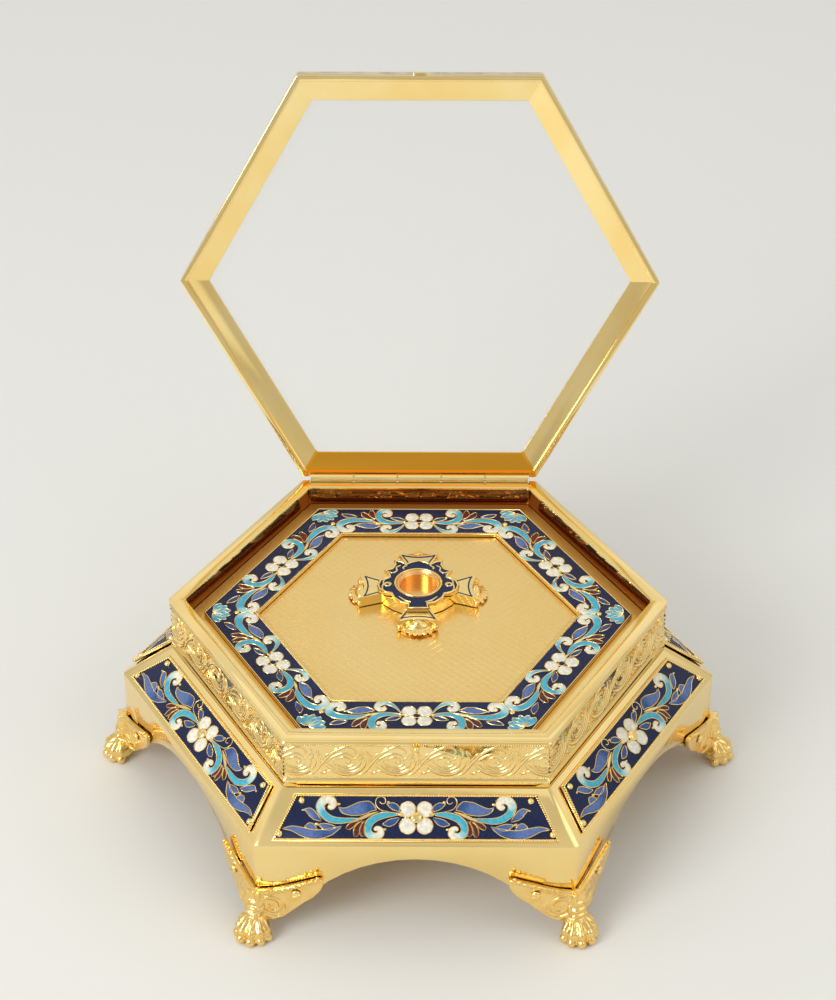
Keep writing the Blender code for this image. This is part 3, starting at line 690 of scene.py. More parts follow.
def tubes(name: str, lines: Sequence[Sequence[tuple[Vector, float]]], closed: bool,
          resolution: int = 2) -> bpy.types.Object:
    """Round tubes along lines of (point, radius), made a mesh."""
    curve = bpy.data.curves.new(name, "CURVE")
    curve.dimensions = "3D"
    curve.twist_mode = "Z_UP"
    curve.bevel_depth = MM
    curve.bevel_resolution = resolution
    for line in lines:
        spline = curve.splines.new("POLY")
        spline.points.add(len(line) - 1)
        spline.use_cyclic_u = closed
        for point, (where, radius) in zip(spline.points, line):
            point.co = (*(where.to_3d() * MM), 1.0)
            point.radius = radius
    made = bpy.data.objects.new(name, curve)
    bpy.context.scene.collection.objects.link(made)
    pick(made)
    bpy.ops.object.convert(target="MESH")
    return bpy.context.view_layer.objects.active


def cells(name: str, strokes: Sequence[Stroke], rise: float, sunk: float = 0.03,
          resolution: int = 2) -> bpy.types.Object:
    """Low domes along strokes, flat below, with their colours on the points.

    Args:
        name: the piece's name.
        strokes: the middle lines.
        rise: height of the domes.
        sunk: depth of their flat underside below the ground.
        resolution: fineness of the dome.

    Returns:
        The piece, lying on Z = 0.
    """
    sampled = [stroke.samples() for stroke in strokes]
    made = tubes(name, [[(point, half) for point, half, _ in line] for line in sampled], False, resolution)
    mesh = made.data
    samples = [sample for line in sampled for sample in line]
    around = len(mesh.vertices) // len(samples)
    paint = mesh.color_attributes.new("Glaze", "FLOAT_COLOR", "POINT")
    for i, vert in enumerate(mesh.vertices):
        _, half, colour = samples[i // around]
        up = vert.co.z / (max(half, 0.01) * MM)
        height = rise * min(1.0, (half / (rise * 2.2)) ** 0.7)
        vert.co.z = (height * up if up > 0.001 else -sunk) * MM
        paint.data[i].color = (*colour, 1.0)
    with editing(made):
        bpy.ops.mesh.fill_holes(sides=0)
    smoothed(made, 60)
    return made


def wires(name: str, strokes: Sequence[Stroke], radius: float, lift: float) -> bpy.types.Object:
    """Thin wires round every wired stroke, lying just above Z = 0."""
    lines = [[(Vector((*point, lift)), radius) for point in stroke.outline()]
             for stroke in strokes if stroke.wired]
    made = tubes(name, lines, True, 0)
    smoothed(made, 80)
    return made


def both_hands(strokes: Sequence[Stroke]) -> list[Stroke]:
    """Strokes and their mirror images."""
    return [*strokes, *(stroke.mirrored() for stroke in strokes)]


def rope(name: str, corners: Sequence[Point], pitch: float = 0.72, thick: float = 0.27) -> bpy.types.Object:
    """Twisted wire round a closed line of corners: a row of slanting grains on each side."""
    rows = []
    for (x0, y0), (x1, y1) in zip(corners, [*corners[1:], corners[0]]):
        length = math.hypot(x1 - x0, y1 - y0)
        count = max(2, round(length / pitch))
        grain = ball((thick * 1.75, thick * 0.95, thick), (0, 0, 0), 8, 5)
        placed(grain, turn(38, "Z"))
        modified(grain, "ARRAY", count=count, use_relative_offset=False, use_constant_offset=True,
                 constant_offset_displace=(length / count * MM, 0, 0))
        lie = shift(x0, y0, 0) @ Matrix.Rotation(math.atan2(y1 - y0, x1 - x0), 4, "Z")
        rows.append(placed(grain, lie))
    made = joined(name, rows)
    smoothed(made, 80)
    return made


class Dresser:
    """Gives pieces their finish and body, and logs their face counts."""

    def __init__(self) -> None:
        """Makes the finishes and measures the hexagon's middle."""
        self.middle = (FRAME_BOX["case_body"][0][1] / MM) + CASE_SIDE
        self.finishes = Finishes(self.middle)

    def piece(self, obj: bpy.types.Object, material: bpy.types.Material,
              body: Body = Body.CASE, stands_for: Sequence[str] = ()) -> bpy.types.Object:
        """Dresses a finished piece.

        Args:
            obj: the piece.
            material: its finish.
            body: the body that it rides on.
            stands_for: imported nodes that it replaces.

        Returns:
            The piece.
        """
        obj.data.materials.clear()
        obj.data.materials.append(material)
        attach(obj, body.value)
        if stands_for:
            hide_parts(*stands_for)
        LOG.info("%s: %d faces", obj.name, len(obj.data.polygons))
        return obj

    def node(self, name: str, material: bpy.types.Material) -> None:
        """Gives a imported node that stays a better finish."""
        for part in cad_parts[name].material_slots:
            part.material = material

    def around(self, side: int) -> Matrix:
        """Frame of the hexagon's middle, turned so that the front side comes to this side."""
        return shift(0, self.middle, 0) @ turn(60 * side, "Z")

    def slope(self, side: int) -> Matrix:
        """Frame on a sloping face: X along it, Y up it, Z out of it, at its middle."""
        lean = Matrix.Rotation(SLOPE_ANGLE, 4, "X")
        return self.around(side) @ shift(0, -CASE_SIDE, LANDING) @ lean @ shift(0, -SLOPE_MIDDLE, 0)

    def ring(self, side: int) -> Matrix:
        """Frame on the enamel ring: X along a side, Y towards the outer edge."""
        return self.around(side) @ shift(0, -RING_MIDDLE, RING_TOP) @ Matrix.Diagonal((1, -1, 1, 1))

    def band(self, side: int) -> Matrix:
        """Frame on the chased band: X along a side, Y up, Z outwards."""
        return self.around(side) @ shift(0, -CASE_SIDE + 0.6, 61.5) @ turn(90, "X")


# ---- Ornament

RING_HALF: tuple[Stroke, ...] = (
    Stroke(((16.4, -0.8), (19.0, 0.2), (22.0, 0.7), (25.4, 0.6), (28.0, -0.2), (29.8, -1.7), (30.2, -3.7),
            (29.2, -5.5), (27.3, -6.2), (25.6, -5.4), (25.5, -4.0), (26.6, -3.4), (27.5, -4.0)),
           (0.15, 0.75, 1.15, 1.35, 1.45, 1.40, 1.35, 1.30, 1.25, 1.05, 0.85, 0.55),
           (Glaze.TURQUOISE, Glaze.TURQUOISE, Glaze.TURQUOISE, Glaze.TURQUOISE, Glaze.PALE, Glaze.WHITE,
            Glaze.WHITE, Glaze.WHITE, Glaze.WHITE)),
    Stroke(((5.4, -1.6), (7.0, -4.3), (9.2, -6.4), (11.5, -6.9), (13.3, -6.1), (13.5, -4.4), (12.2, -3.4),
            (11.1, -4.0), (11.5, -4.9)),
           (0.12, 0.40, 0.80, 1.00, 1.10, 1.15, 1.00, 0.75, 0.50),
           (Glaze.TURQUOISE, Glaze.TURQUOISE, Glaze.PALE, Glaze.WHITE, Glaze.WHITE, Glaze.WHITE)),
    Stroke(((5.1, -0.6), (8.0, -0.9), (11.1, -0.9), (13.6, 0.1), (15.1, 1.9), (15.5, 4.2), (14.7, 6.2),
            (13.0, 6.9), (11.5, 6.1), (11.4, 4.4), (12.7, 3.7), (13.6, 4.5)),
           (0.15, 0.70, 1.05, 1.20, 1.25, 1.20, 1.15, 1.15, 1.15, 1.00, 0.80, 0.50),
           (Glaze.TURQUOISE, Glaze.TURQUOISE, Glaze.TURQUOISE, Glaze.TURQUOISE, Glaze.TURQUOISE, Glaze.PALE,
            Glaze.WHITE, Glaze.WHITE, Glaze.WHITE)),
    Stroke(((24.2, -2.6), (21.4, -2.6), (18.0, -3.2), (14.6, -3.0)), (0.10, 1.15, 1.75, 1.50, 0.25),
           (Glaze.LILAC, Glaze.LILAC, Glaze.LILAC, Glaze.BLUE)),
    Stroke(((17.0, 0.9), (19.8, 2.8), (21.8, 5.8)), (0.15, 0.90, 1.30, 0.60), (Glaze.MAROON,)),
    Stroke(((16.4, 1.4), (17.9, 4.0), (18.2, 7.0)), (0.15, 0.90, 1.25, 0.60), (Glaze.MAROON,)),
    Stroke(((29.6, 4.6), (27.1, 3.6), (23.6, 3.0)), (0.12, 1.05, 1.15, 0.20), (Glaze.DUSK, Glaze.BLUE)),
    Stroke(((10.9, 2.2), (8.0, 1.4), (5.2, 0.4)), (0.12, 0.95, 1.05, 0.20), (Glaze.BLUE, Glaze.DUSK)),
    petal(2.70, -2.60, 2.52),
    petal(2.70, 2.60, 2.52),
)
RING_KNOTS: tuple[Stroke, ...] = (
    Stroke(((18.3, 0.2), (15.6, -1.0), (12.8, -1.7)), (0.15, 0.55, 0.60, 0.20), wired=False),
    Stroke(((4.2, -0.9), (5.6, -0.8)), (0.45, 0.60, 0.30), wired=False),
    Stroke(((24.0, -2.6), (25.0, -2.7)), (0.35, 0.45, 0.25), wired=False),
)
RING_SHELL: tuple[Stroke, ...] = tuple(
    Stroke(((0.5 * math.sin(a), -0.5 * math.cos(a)), (reach * 0.5 * math.sin(a), -reach * 0.5 * math.cos(a)),
            (reach * math.sin(a), -reach * math.cos(a))), (0.15, 0.50, 0.90, 1.35, 1.55, 1.20, 0.25),
           (Glaze.PALE, Glaze.TURQUOISE, Glaze.TURQUOISE), fine=5)
    for a, reach in ((math.radians(degrees), 6.9 - 0.010 * abs(degrees)) for degrees in (-62, -37, -12, 12, 37, 62))
)
PLAQUE_HALF: tuple[Stroke, ...] = (
    Stroke(((-19.3, -0.4), (-22.0, -0.8), (-25.1, -1.1), (-28.1, -0.8), (-30.3, 0.3), (-31.9, 1.9), (-32.4, 3.8),
            (-31.7, 5.4), (-30.1, 6.2), (-28.4, 5.6), (-28.0, 4.3), (-28.8, 3.4), (-29.7, 4.0)),
           (0.15, 0.60, 0.95, 1.10, 1.15, 1.25, 1.40, 1.40, 1.35, 1.25, 1.05, 0.80, 0.50),
           (Glaze.TURQUOISE, Glaze.TURQUOISE, Glaze.TURQUOISE, Glaze.TURQUOISE, Glaze.TURQUOISE, Glaze.PALE,
            Glaze.WHITE, Glaze.WHITE, Glaze.WHITE, Glaze.WHITE, Glaze.WHITE)),
    Stroke(((-6.0, 1.1), (-8.5, 1.1), (-11.3, 0.7), (-14.0, -0.3), (-15.7, -1.9), (-16.4, -3.9), (-15.9, -5.5),
            (-14.5, -6.4), (-12.9, -6.3), (-11.9, -5.3), (-12.2, -4.1), (-13.3, -3.7), (-14.0, -4.4)),
           (0.20, 0.75, 1.00, 1.15, 1.20, 1.20, 1.20, 1.20, 1.20, 1.15, 0.95, 0.75, 0.45),
           (Glaze.TURQUOISE, Glaze.TURQUOISE, Glaze.TURQUOISE, Glaze.TURQUOISE, Glaze.TURQUOISE, Glaze.PALE,
            Glaze.WHITE, Glaze.WHITE, Glaze.WHITE, Glaze.WHITE)),
    Stroke(((-26.2, 3.4), (-24.3, 2.3), (-21.5, 2.4), (-18.8, 3.1), (-16.0, 3.6), (-13.5, 2.7)),
           (0.12, 0.95, 1.75, 2.25, 2.00, 0.15),
           (Glaze.LILAC, Glaze.LILAC, Glaze.LILAC, Glaze.LILAC, Glaze.BLUE, Glaze.BLUE)),
    Stroke(((-19.4, -1.2), (-21.7, -2.6), (-23.4, -3.9)), (0.15, 0.55, 0.90, 0.80, 0.50), (Glaze.MAROON,)),
    Stroke(((-18.2, -1.2), (-19.8, -3.7), (-20.3, -6.5)), (0.15, 0.70, 0.95, 1.00, 0.55), (Glaze.MAROON,)),
    Stroke(((-17.3, -1.2), (-18.2, -3.9), (-17.8, -6.4)), (0.15, 0.60, 0.90, 0.95, 0.50), (Glaze.MAROON,)),
    Stroke(((-37.6, 2.7), (-35.9, 2.1), (-34.3, 0.5), (-32.0, -1.2)), (0.12, 1.00, 1.25, 1.05, 0.20),
           (Glaze.LILAC, Glaze.LILAC, Glaze.BLUE)),
    Stroke(((-45.0, -3.9), (-41.7, -3.8), (-38.3, -4.9), (-35.3, -5.7), (-32.0, -5.7), (-28.6, -4.8),
            (-25.2, -3.1)), (0.12, 0.85, 1.45, 1.60, 1.50, 1.15, 0.15),
           (Glaze.LILAC, Glaze.LILAC, Glaze.LILAC, Glaze.BLUE, Glaze.LILAC)),
    Stroke(((-37.4, -3.3), (-35.4, -2.9), (-33.6, -4.2)), (0.25, 1.05, 0.95, 0.25), (Glaze.LILAC,)),
    Stroke(((-32.5, -2.5), (-29.9, -3.3), (-27.0, -3.3)), (0.30, 1.15, 1.05, 0.20), (Glaze.LILAC, Glaze.BLUE)),
    Stroke(((-9.8, 4.6), (-7.6, 3.9), (-5.2, 2.2)), (0.12, 1.05, 1.10, 0.25), (Glaze.BLUE,)),
    Stroke(((-11.2, -2.3), (-8.6, -1.7), (-5.8, -0.2)), (0.12, 1.15, 1.10, 0.25), (Glaze.BLUE,)),
    petal(-2.95, 2.85, 2.72),
    petal(-2.95, -2.85, 2.72),
)
PLAQUE_KNOTS: tuple[Stroke, ...] = (
    Stroke(((-20.6, -1.3), (-17.9, 0.0), (-15.0, 1.3), (-12.8, 2.0)), (0.15, 0.55, 0.60, 0.40, 0.12), wired=False),
    Stroke(((-4.3, 1.0), (-6.2, 1.2)), (0.60, 0.70, 0.25), wired=False),
    Stroke(((-26.9, 4.5), (-25.6, 4.6)), (0.45, 0.55, 0.25), wired=False),
    Stroke(((-11.2, -4.1), (-10.1, -4.0)), (0.40, 0.50, 0.25), wired=False),
    Stroke(((-9.9, 5.2), (-9.0, 5.4)), (0.35, 0.45, 0.20), wired=False),
    Stroke(((-34.0, -2.1), (-32.7, -2.6)), (0.35, 0.50, 0.30), wired=False),
    Stroke(((-37.7, 2.6), (-38.6, 2.4)), (0.30, 0.35, 0.15), wired=False),
    Stroke(((-5.4, 1.5), (-9.3, 2.0), (-12.3, 2.8), (-13.7, 4.6), (-13.4, 6.5), (-11.8, 7.2), (-10.5, 6.4),
            (-10.5, 5.1), (-11.5, 4.7), (-12.3, 5.3)), (0.16,), wired=False),
)
BAND_LEAVES: tuple[Stroke, ...] = tuple(
    Stroke(tuple(((x - 880) / 24.5, (235 - y) / 20.3) for x, y in path), widths, fine=3)
    for path, widths in (
        (((560, 352), (602, 335), (642, 285), (690, 225), (745, 172), (810, 130), (870, 108), (925, 118), (952, 150),
          (935, 168)), (0.20, 0.45, 0.60, 0.58, 0.55, 0.52, 0.50, 0.45, 0.35, 0.20)),
        (((676, 268), (725, 222), (785, 184), (850, 164), (905, 172), (930, 200)), (0.15, 0.45, 0.50, 0.45, 0.40, 0.15)),
        (((690, 262), (735, 300), (800, 333), (870, 346), (940, 333), (1000, 290), (1028, 238), (1018, 195)),
         (0.12, 0.50, 0.80, 0.95, 0.92, 0.78, 0.50, 0.12)),
        (((700, 240), (735, 262), (785, 300), (845, 322)), (0.12, 0.42, 0.42, 0.12)),
        (((765, 215), (782, 260), (830, 298), (890, 310), (950, 288), (985, 245), (985, 205)),
         (0.12, 0.45, 0.60, 0.65, 0.60, 0.45, 0.12)),
        (((800, 250), (830, 275), (880, 285), (925, 265), (945, 232)), (0.12, 0.40, 0.50, 0.40, 0.12)),
        (((795, 225), (835, 200), (880, 198), (905, 222), (890, 246), (862, 240)),
         (0.15, 0.40, 0.42, 0.38, 0.35, 0.28)),
        (((925, 225), (950, 205), (985, 172)), (0.12, 0.42, 0.25, 0.36)),
        (((760, 300), (735, 318), (700, 322)), (0.12, 0.36, 0.12)),
        (((1000, 350), (1040, 300), (1064, 245), (1058, 195), (1036, 158)), (0.12, 0.42, 0.45, 0.35, 0.12)),
        (((1062, 250), (1082, 215), (1112, 180), (1136, 160)), (0.12, 0.38, 0.35, 0.12)),
        (((622, 142), (645, 160), (668, 192)), (0.40, 0.50, 0.12)),
        (((652, 318), (664, 334), (686, 338), (706, 322), (696, 308)), (0.22, 0.45, 0.50, 0.42, 0.25)),
        (((572, 118), (592, 150), (596, 190), (578, 225)), (0.12, 0.38, 0.40, 0.12)),
        (((840, 128), (800, 118), (762, 132)), (0.12, 0.32, 0.12)),
    )
)


@dataclass
class EnamelRing:
    """Hexagonal enamel frame on the tray: cells, wires, shells and gilt edging."""

    rise: float = 0.22
    wire: float = 0.15
    wire_lift: float = 0.13
    inner: float = 50.24
    outer: float = 67.04
    zigzag_pitch: float = 1.25

    def build(self, dresser: Dresser) -> None:
        """Lays the ornament on all six sides."""
        finishes = dresser.finishes
        sides = [dresser.ring(side) for side in range(SIDES)]
        shell = self.shell_strokes()
        motif = both_hands(RING_HALF) + shell
        dresser.node("enamel_ring", finishes.ring_plate)
        enamel = cells("ring_enamel", motif, self.rise)
        dresser.piece(repeated("ring_enamel", enamel, sides), finishes.cells)
        dresser.piece(repeated("ring_wires", wires("ring_wires", motif, self.wire, self.wire_lift), sides),
                      finishes.wire)
        knots = cells("ring_knots", both_hands(RING_KNOTS), 0.34)
        dresser.piece(repeated("ring_knots", knots, sides), finishes.wire)
        eye = ball((1.25, 1.10, 0.50), (0, 0, 0.10), 20, 8)
        smoothed(eye, 60)
        dresser.piece(repeated("ring_flower_eyes", eye, sides), finishes.navy)
        collar = tubes("collar", [[(Vector((1.3 * math.cos(t), 1.15 * math.sin(t), 0.30)), 0.15)
                                   for t in (2 * math.pi * k / 20 for k in range(20))]], True, 1)
        dresser.piece(repeated("ring_flower_collars", collar, sides), finishes.wire)
        bead = ball((1.0, 1.0, 0.7), (32.74, -1.93, 0.15), 16, 8)
        smoothed(bead, 60)
        edging = [repeated("beads", bead, sides), self.edge(dresser, self.outer - 0.25, 0.26),
                  self.edge(dresser, self.inner + 0.10, 0.20), self.zigzag(dresser)]
        dresser.piece(joined("ring_edging", edging), finishes.wire)
        self.inner_rope(dresser)

    def shell_strokes(self) -> list[Stroke]:
        """The corner shell, laid across the corner at the right-hand end of a side."""
        root = 5.9
        corner = Vector(((RING_MIDDLE + root) * math.tan(math.radians(30)), root))
        strokes = []
        for lobe in RING_SHELL:
            path = tuple(tuple(Matrix.Rotation(math.radians(-30), 2) @ Vector(p) + corner) for p in lobe.path)
            strokes.append(replace(lobe, path=path))
        return strokes

    def edge(self, dresser: Dresser, side: float, radius: float) -> bpy.types.Object:
        """Plain wire round the hexagon."""
        reach = side / math.cos(math.radians(30))
        line = []
        for k in range(SIDES):
            a, b = (math.radians(60 * (k + e)) for e in (0, 1))
            for s in (0.0, 0.25, 0.5, 0.75):
                x = reach * (math.cos(a) * (1 - s) + math.cos(b) * s)
                y = reach * (math.sin(a) * (1 - s) + math.sin(b) * s)
                line.append((Vector((x, y + dresser.middle, RING_TOP + radius * 0.4)), radius))
        made = tubes("edge", [line], True, 2)
        smoothed(made, 80)
        return made

    def zigzag(self, dresser: Dresser) -> bpy.types.Object:
        """Fine raised zigzag on the tray, just inside the ring."""
        half = (self.inner - 1.6) * math.tan(math.radians(30))
        count = 2 * round(half / self.zigzag_pitch)
        line = [(Vector((half * (2 * k / count - 1), -(self.inner - 1.6) + (0.42 if k % 2 else -0.42), 64.72)), 0.10)
                for k in range(count + 1)]
        side = tubes("zigzag", [line], False, 0)
        return repeated("zigzag", side, [dresser.around(k) for k in range(SIDES)])

    def inner_rope(self, dresser: Dresser) -> None:
        """Twisted wire along the inner edge."""
        reach = (self.inner + 0.55) / math.cos(math.radians(30))
        corners = [(reach * math.cos(math.radians(60 * k)), reach * math.sin(math.radians(60 * k)))
                   for k in range(SIDES)]
        made = placed(rope("ring_rope", corners, 0.82, 0.27), shift(0, dresser.middle, RING_TOP + 0.10))
        dresser.piece(made, dresser.finishes.wire)


@dataclass
class Plaques:
    """Six enamel plaques on the sloping faces, with twisted wire edges, beads and slotted screws."""

    half_top: float = 40.91
    half_foot: float = 48.17
    top: float = 7.87
    foot: float = -7.87
    thickness: float = 1.0
    rise: float = 0.26
    wire: float = 0.16
    wire_lift: float = 0.15
    bead: float = 1.3
    bead_inset: float = 2.2
    screw: float = 2.0

    def build(self, dresser: Dresser) -> None:
        """Makes one plaque and lays it on every face."""
        finishes = dresser.finishes
        faces = [dresser.slope(side) @ shift(0, 0, PLATE_TOP) for side in range(SIDES)]
        names = [f"enamel_plaque_{side + 1}" for side in range(SIDES)]
        motif = both_hands(PLAQUE_HALF)
        dresser.piece(repeated("plaque_plates", self.plate(), faces), finishes.navy,
                      stands_for=names)
        dresser.piece(repeated("plaque_enamel", cells("plaque_enamel", motif, self.rise), faces),
                      finishes.cells)
        dresser.piece(repeated("plaque_wires", wires("plaque_wires", motif, self.wire, self.wire_lift), faces),
                      finishes.wire)
        dresser.piece(repeated("plaque_knots", cells("plaque_knots", both_hands(PLAQUE_KNOTS), 0.36), faces),
                      finishes.wire)
        dresser.piece(repeated("plaque_beads", self.beads(), faces), finishes.satin)
        frame = tubes("plaque_edges", [[(Vector((*point, -0.35)), 0.42) for point in self.outline(-0.10)]], True, 2)
        smoothed(frame, 80)
        dresser.piece(repeated("plaque_edges", frame, faces), finishes.wire)
        twist = rope("plaque_ropes", self.outline(0.36), 0.86, 0.36)
        dresser.piece(repeated("plaque_ropes", placed(twist, shift(0, 0, 0.10)), faces), finishes.wire)
        screws = [place @ shift(0, 0, 0.3) @ turn(35, "Z") for place in faces]
        dresser.piece(repeated("plaque_screws", slotted_screw("plaque_screws", self.screw, 1.6), screws),
                      finishes.satin, stands_for=[f"plaque_screw_{side + 1}" for side in range(SIDES)])

    def outline(self, inset: float) -> list[Point]:
        """Corners of the plaque, moved in by an inset."""
        top, foot = self.half_top - inset * 1.2, self.half_foot - inset * 1.2
        return [(-foot, self.foot + inset), (foot, self.foot + inset), (top, self.top - inset), (-top, self.top - inset)]

    def plate(self) -> bpy.types.Object:
        """Flat plate with softened edges, its face on Z = 0."""
        bpy.ops.mesh.primitive_plane_add(size=2 * MM)
        made = bpy.context.object
        for vert in made.data.vertices:
            wide = self.half_top if vert.co.y > 0 else self.half_foot
            vert.co = (math.copysign(wide * MM, vert.co.x), (self.top if vert.co.y > 0 else self.foot) * MM, 0)
        with editing(made):
            bpy.ops.mesh.extrude_region_move(TRANSFORM_OT_translate={"value": (0, 0, -self.thickness * MM)})
        tidied(made)
        modified(made, "BEVEL", width=0.15 * MM, segments=2, limit_method="ANGLE", angle_limit=math.radians(40))
        smoothed(made)
        return made

    def beads(self) -> bpy.types.Object:
        """Four round beads in the corners, each in a low collar."""
        parts = []
        for x, y in self.outline(0.0):
            bead = lathe("bead", [(0, 1.15), (0.34, 1.10), (0.66, 0.95), (0.94, 0.70), (1.13, 0.38), (1.22, 0.0),
                                  (0, -0.05)], 28)
            px = x - math.copysign(self.bead_inset, x)
            py = y - math.copysign(self.bead_inset, y)
            parts.append(placed(bead, shift(px, py, 0)))
        made = joined("plaque_beads", parts)
        smoothed(made, 50)
        return made


def slotted_screw(name: str, radius: float, shank: float) -> bpy.types.Object:
    """Domed screw head with a cut slot, its seat on Z = 0."""
    r = radius
    made = lathe(name, [(0, r * 0.52), (r * 0.45, r * 0.50), (r * 0.78, r * 0.42), (r * 0.95, r * 0.28), (r, r * 0.14),
                        (r, 0), (r * 0.45, 0), (r * 0.45, -shank), (0, -shank)], 32)
    bpy.ops.mesh.primitive_cube_add(size=MM)
    slot = placed(bpy.context.object, shift(0, 0, r * 0.60) @ Matrix.Diagonal((r * 2.4, r * 0.26, r * 0.5, 1)))
    modified(made, "BOOLEAN", operation="DIFFERENCE", object=slot, solver="EXACT")
    bpy.data.objects.remove(slot)
    modified(made, "BEVEL", width=0.06 * MM, segments=2, limit_method="ANGLE", angle_limit=math.radians(40))
    smoothed(made, 35)
    return made


@dataclass
class CaseAndPlinth:
    """Case wall with the chased band, the plinth, the tray, and the catch in front."""

    round_edge: float = 0.28
    pitch: float = 16.8
    first: float = -40.0
    roundels: int = 6
    relief: float = 0.75

    def build(self, dresser: Dresser) -> None:
        """Dresses the walls and lays the band."""
        finishes = dresser.finishes
        dresser.piece(refined("plinth", "plinth_polished", self.round_edge), finishes.mirror,
                      stands_for=["plinth"])
        dresser.piece(refined("case_body", "case_walls", 0.16), finishes.walls,
                      stands_for=["case_body"])
        dresser.node("inner_tray", finishes.lattice)
        self.band(dresser)
        self.catch(dresser)

    def band(self, dresser: Dresser) -> None:
        """Running scroll in relief between two rows of fine grains."""
        sides = [dresser.band(side) for side in range(SIDES)]
        strokes = [leaf.moved(self.first + self.pitch * k, 0) for k in range(self.roundels) for leaf in BAND_LEAVES]
        half = 44.6
        scroll = cells("band_relief", strokes, self.relief, resolution=1)
        with editing(scroll):
            for hand in (1, -1):
                bpy.ops.mesh.select_all(action="SELECT")
                bpy.ops.mesh.bisect(plane_co=(hand * half * MM, 0, 0), plane_no=(hand, 0, 0), clear_outer=True)
        dresser.piece(repeated("band_relief", scroll, sides), dresser.finishes.band)
        rows = []
        for y in (7.05, -7.05):
            row = rope("grains", [(-half, y), (half, y)], 0.80, 0.24)
            rows.append(row)
        grains = joined("band_grains", rows)
        dresser.piece(repeated("band_grains", grains, sides), dresser.finishes.band)

    def catch(self, dresser: Dresser) -> None:
        """Small ball of the catch, on its neck."""
        low, high = FRAME_BOX["latch_ball"]
        x, y, z = ((a + b) / 2 / MM for a, b in zip(low, high))
        made = lathe("catch_ball", [(0, 1.1), (0.5, 0.98), (0.9, 0.62), (1.1, 0.1), (1.0, -0.45), (0.62, -0.9),
                                    (0.5, -1.1), (0, -1.1)], 32)
        placed(made, shift(x, y, z) @ turn(90, "X"))
        smoothed(made, 50)
        dresser.piece(made, dresser.finishes.mirror, stands_for=["latch_ball"])


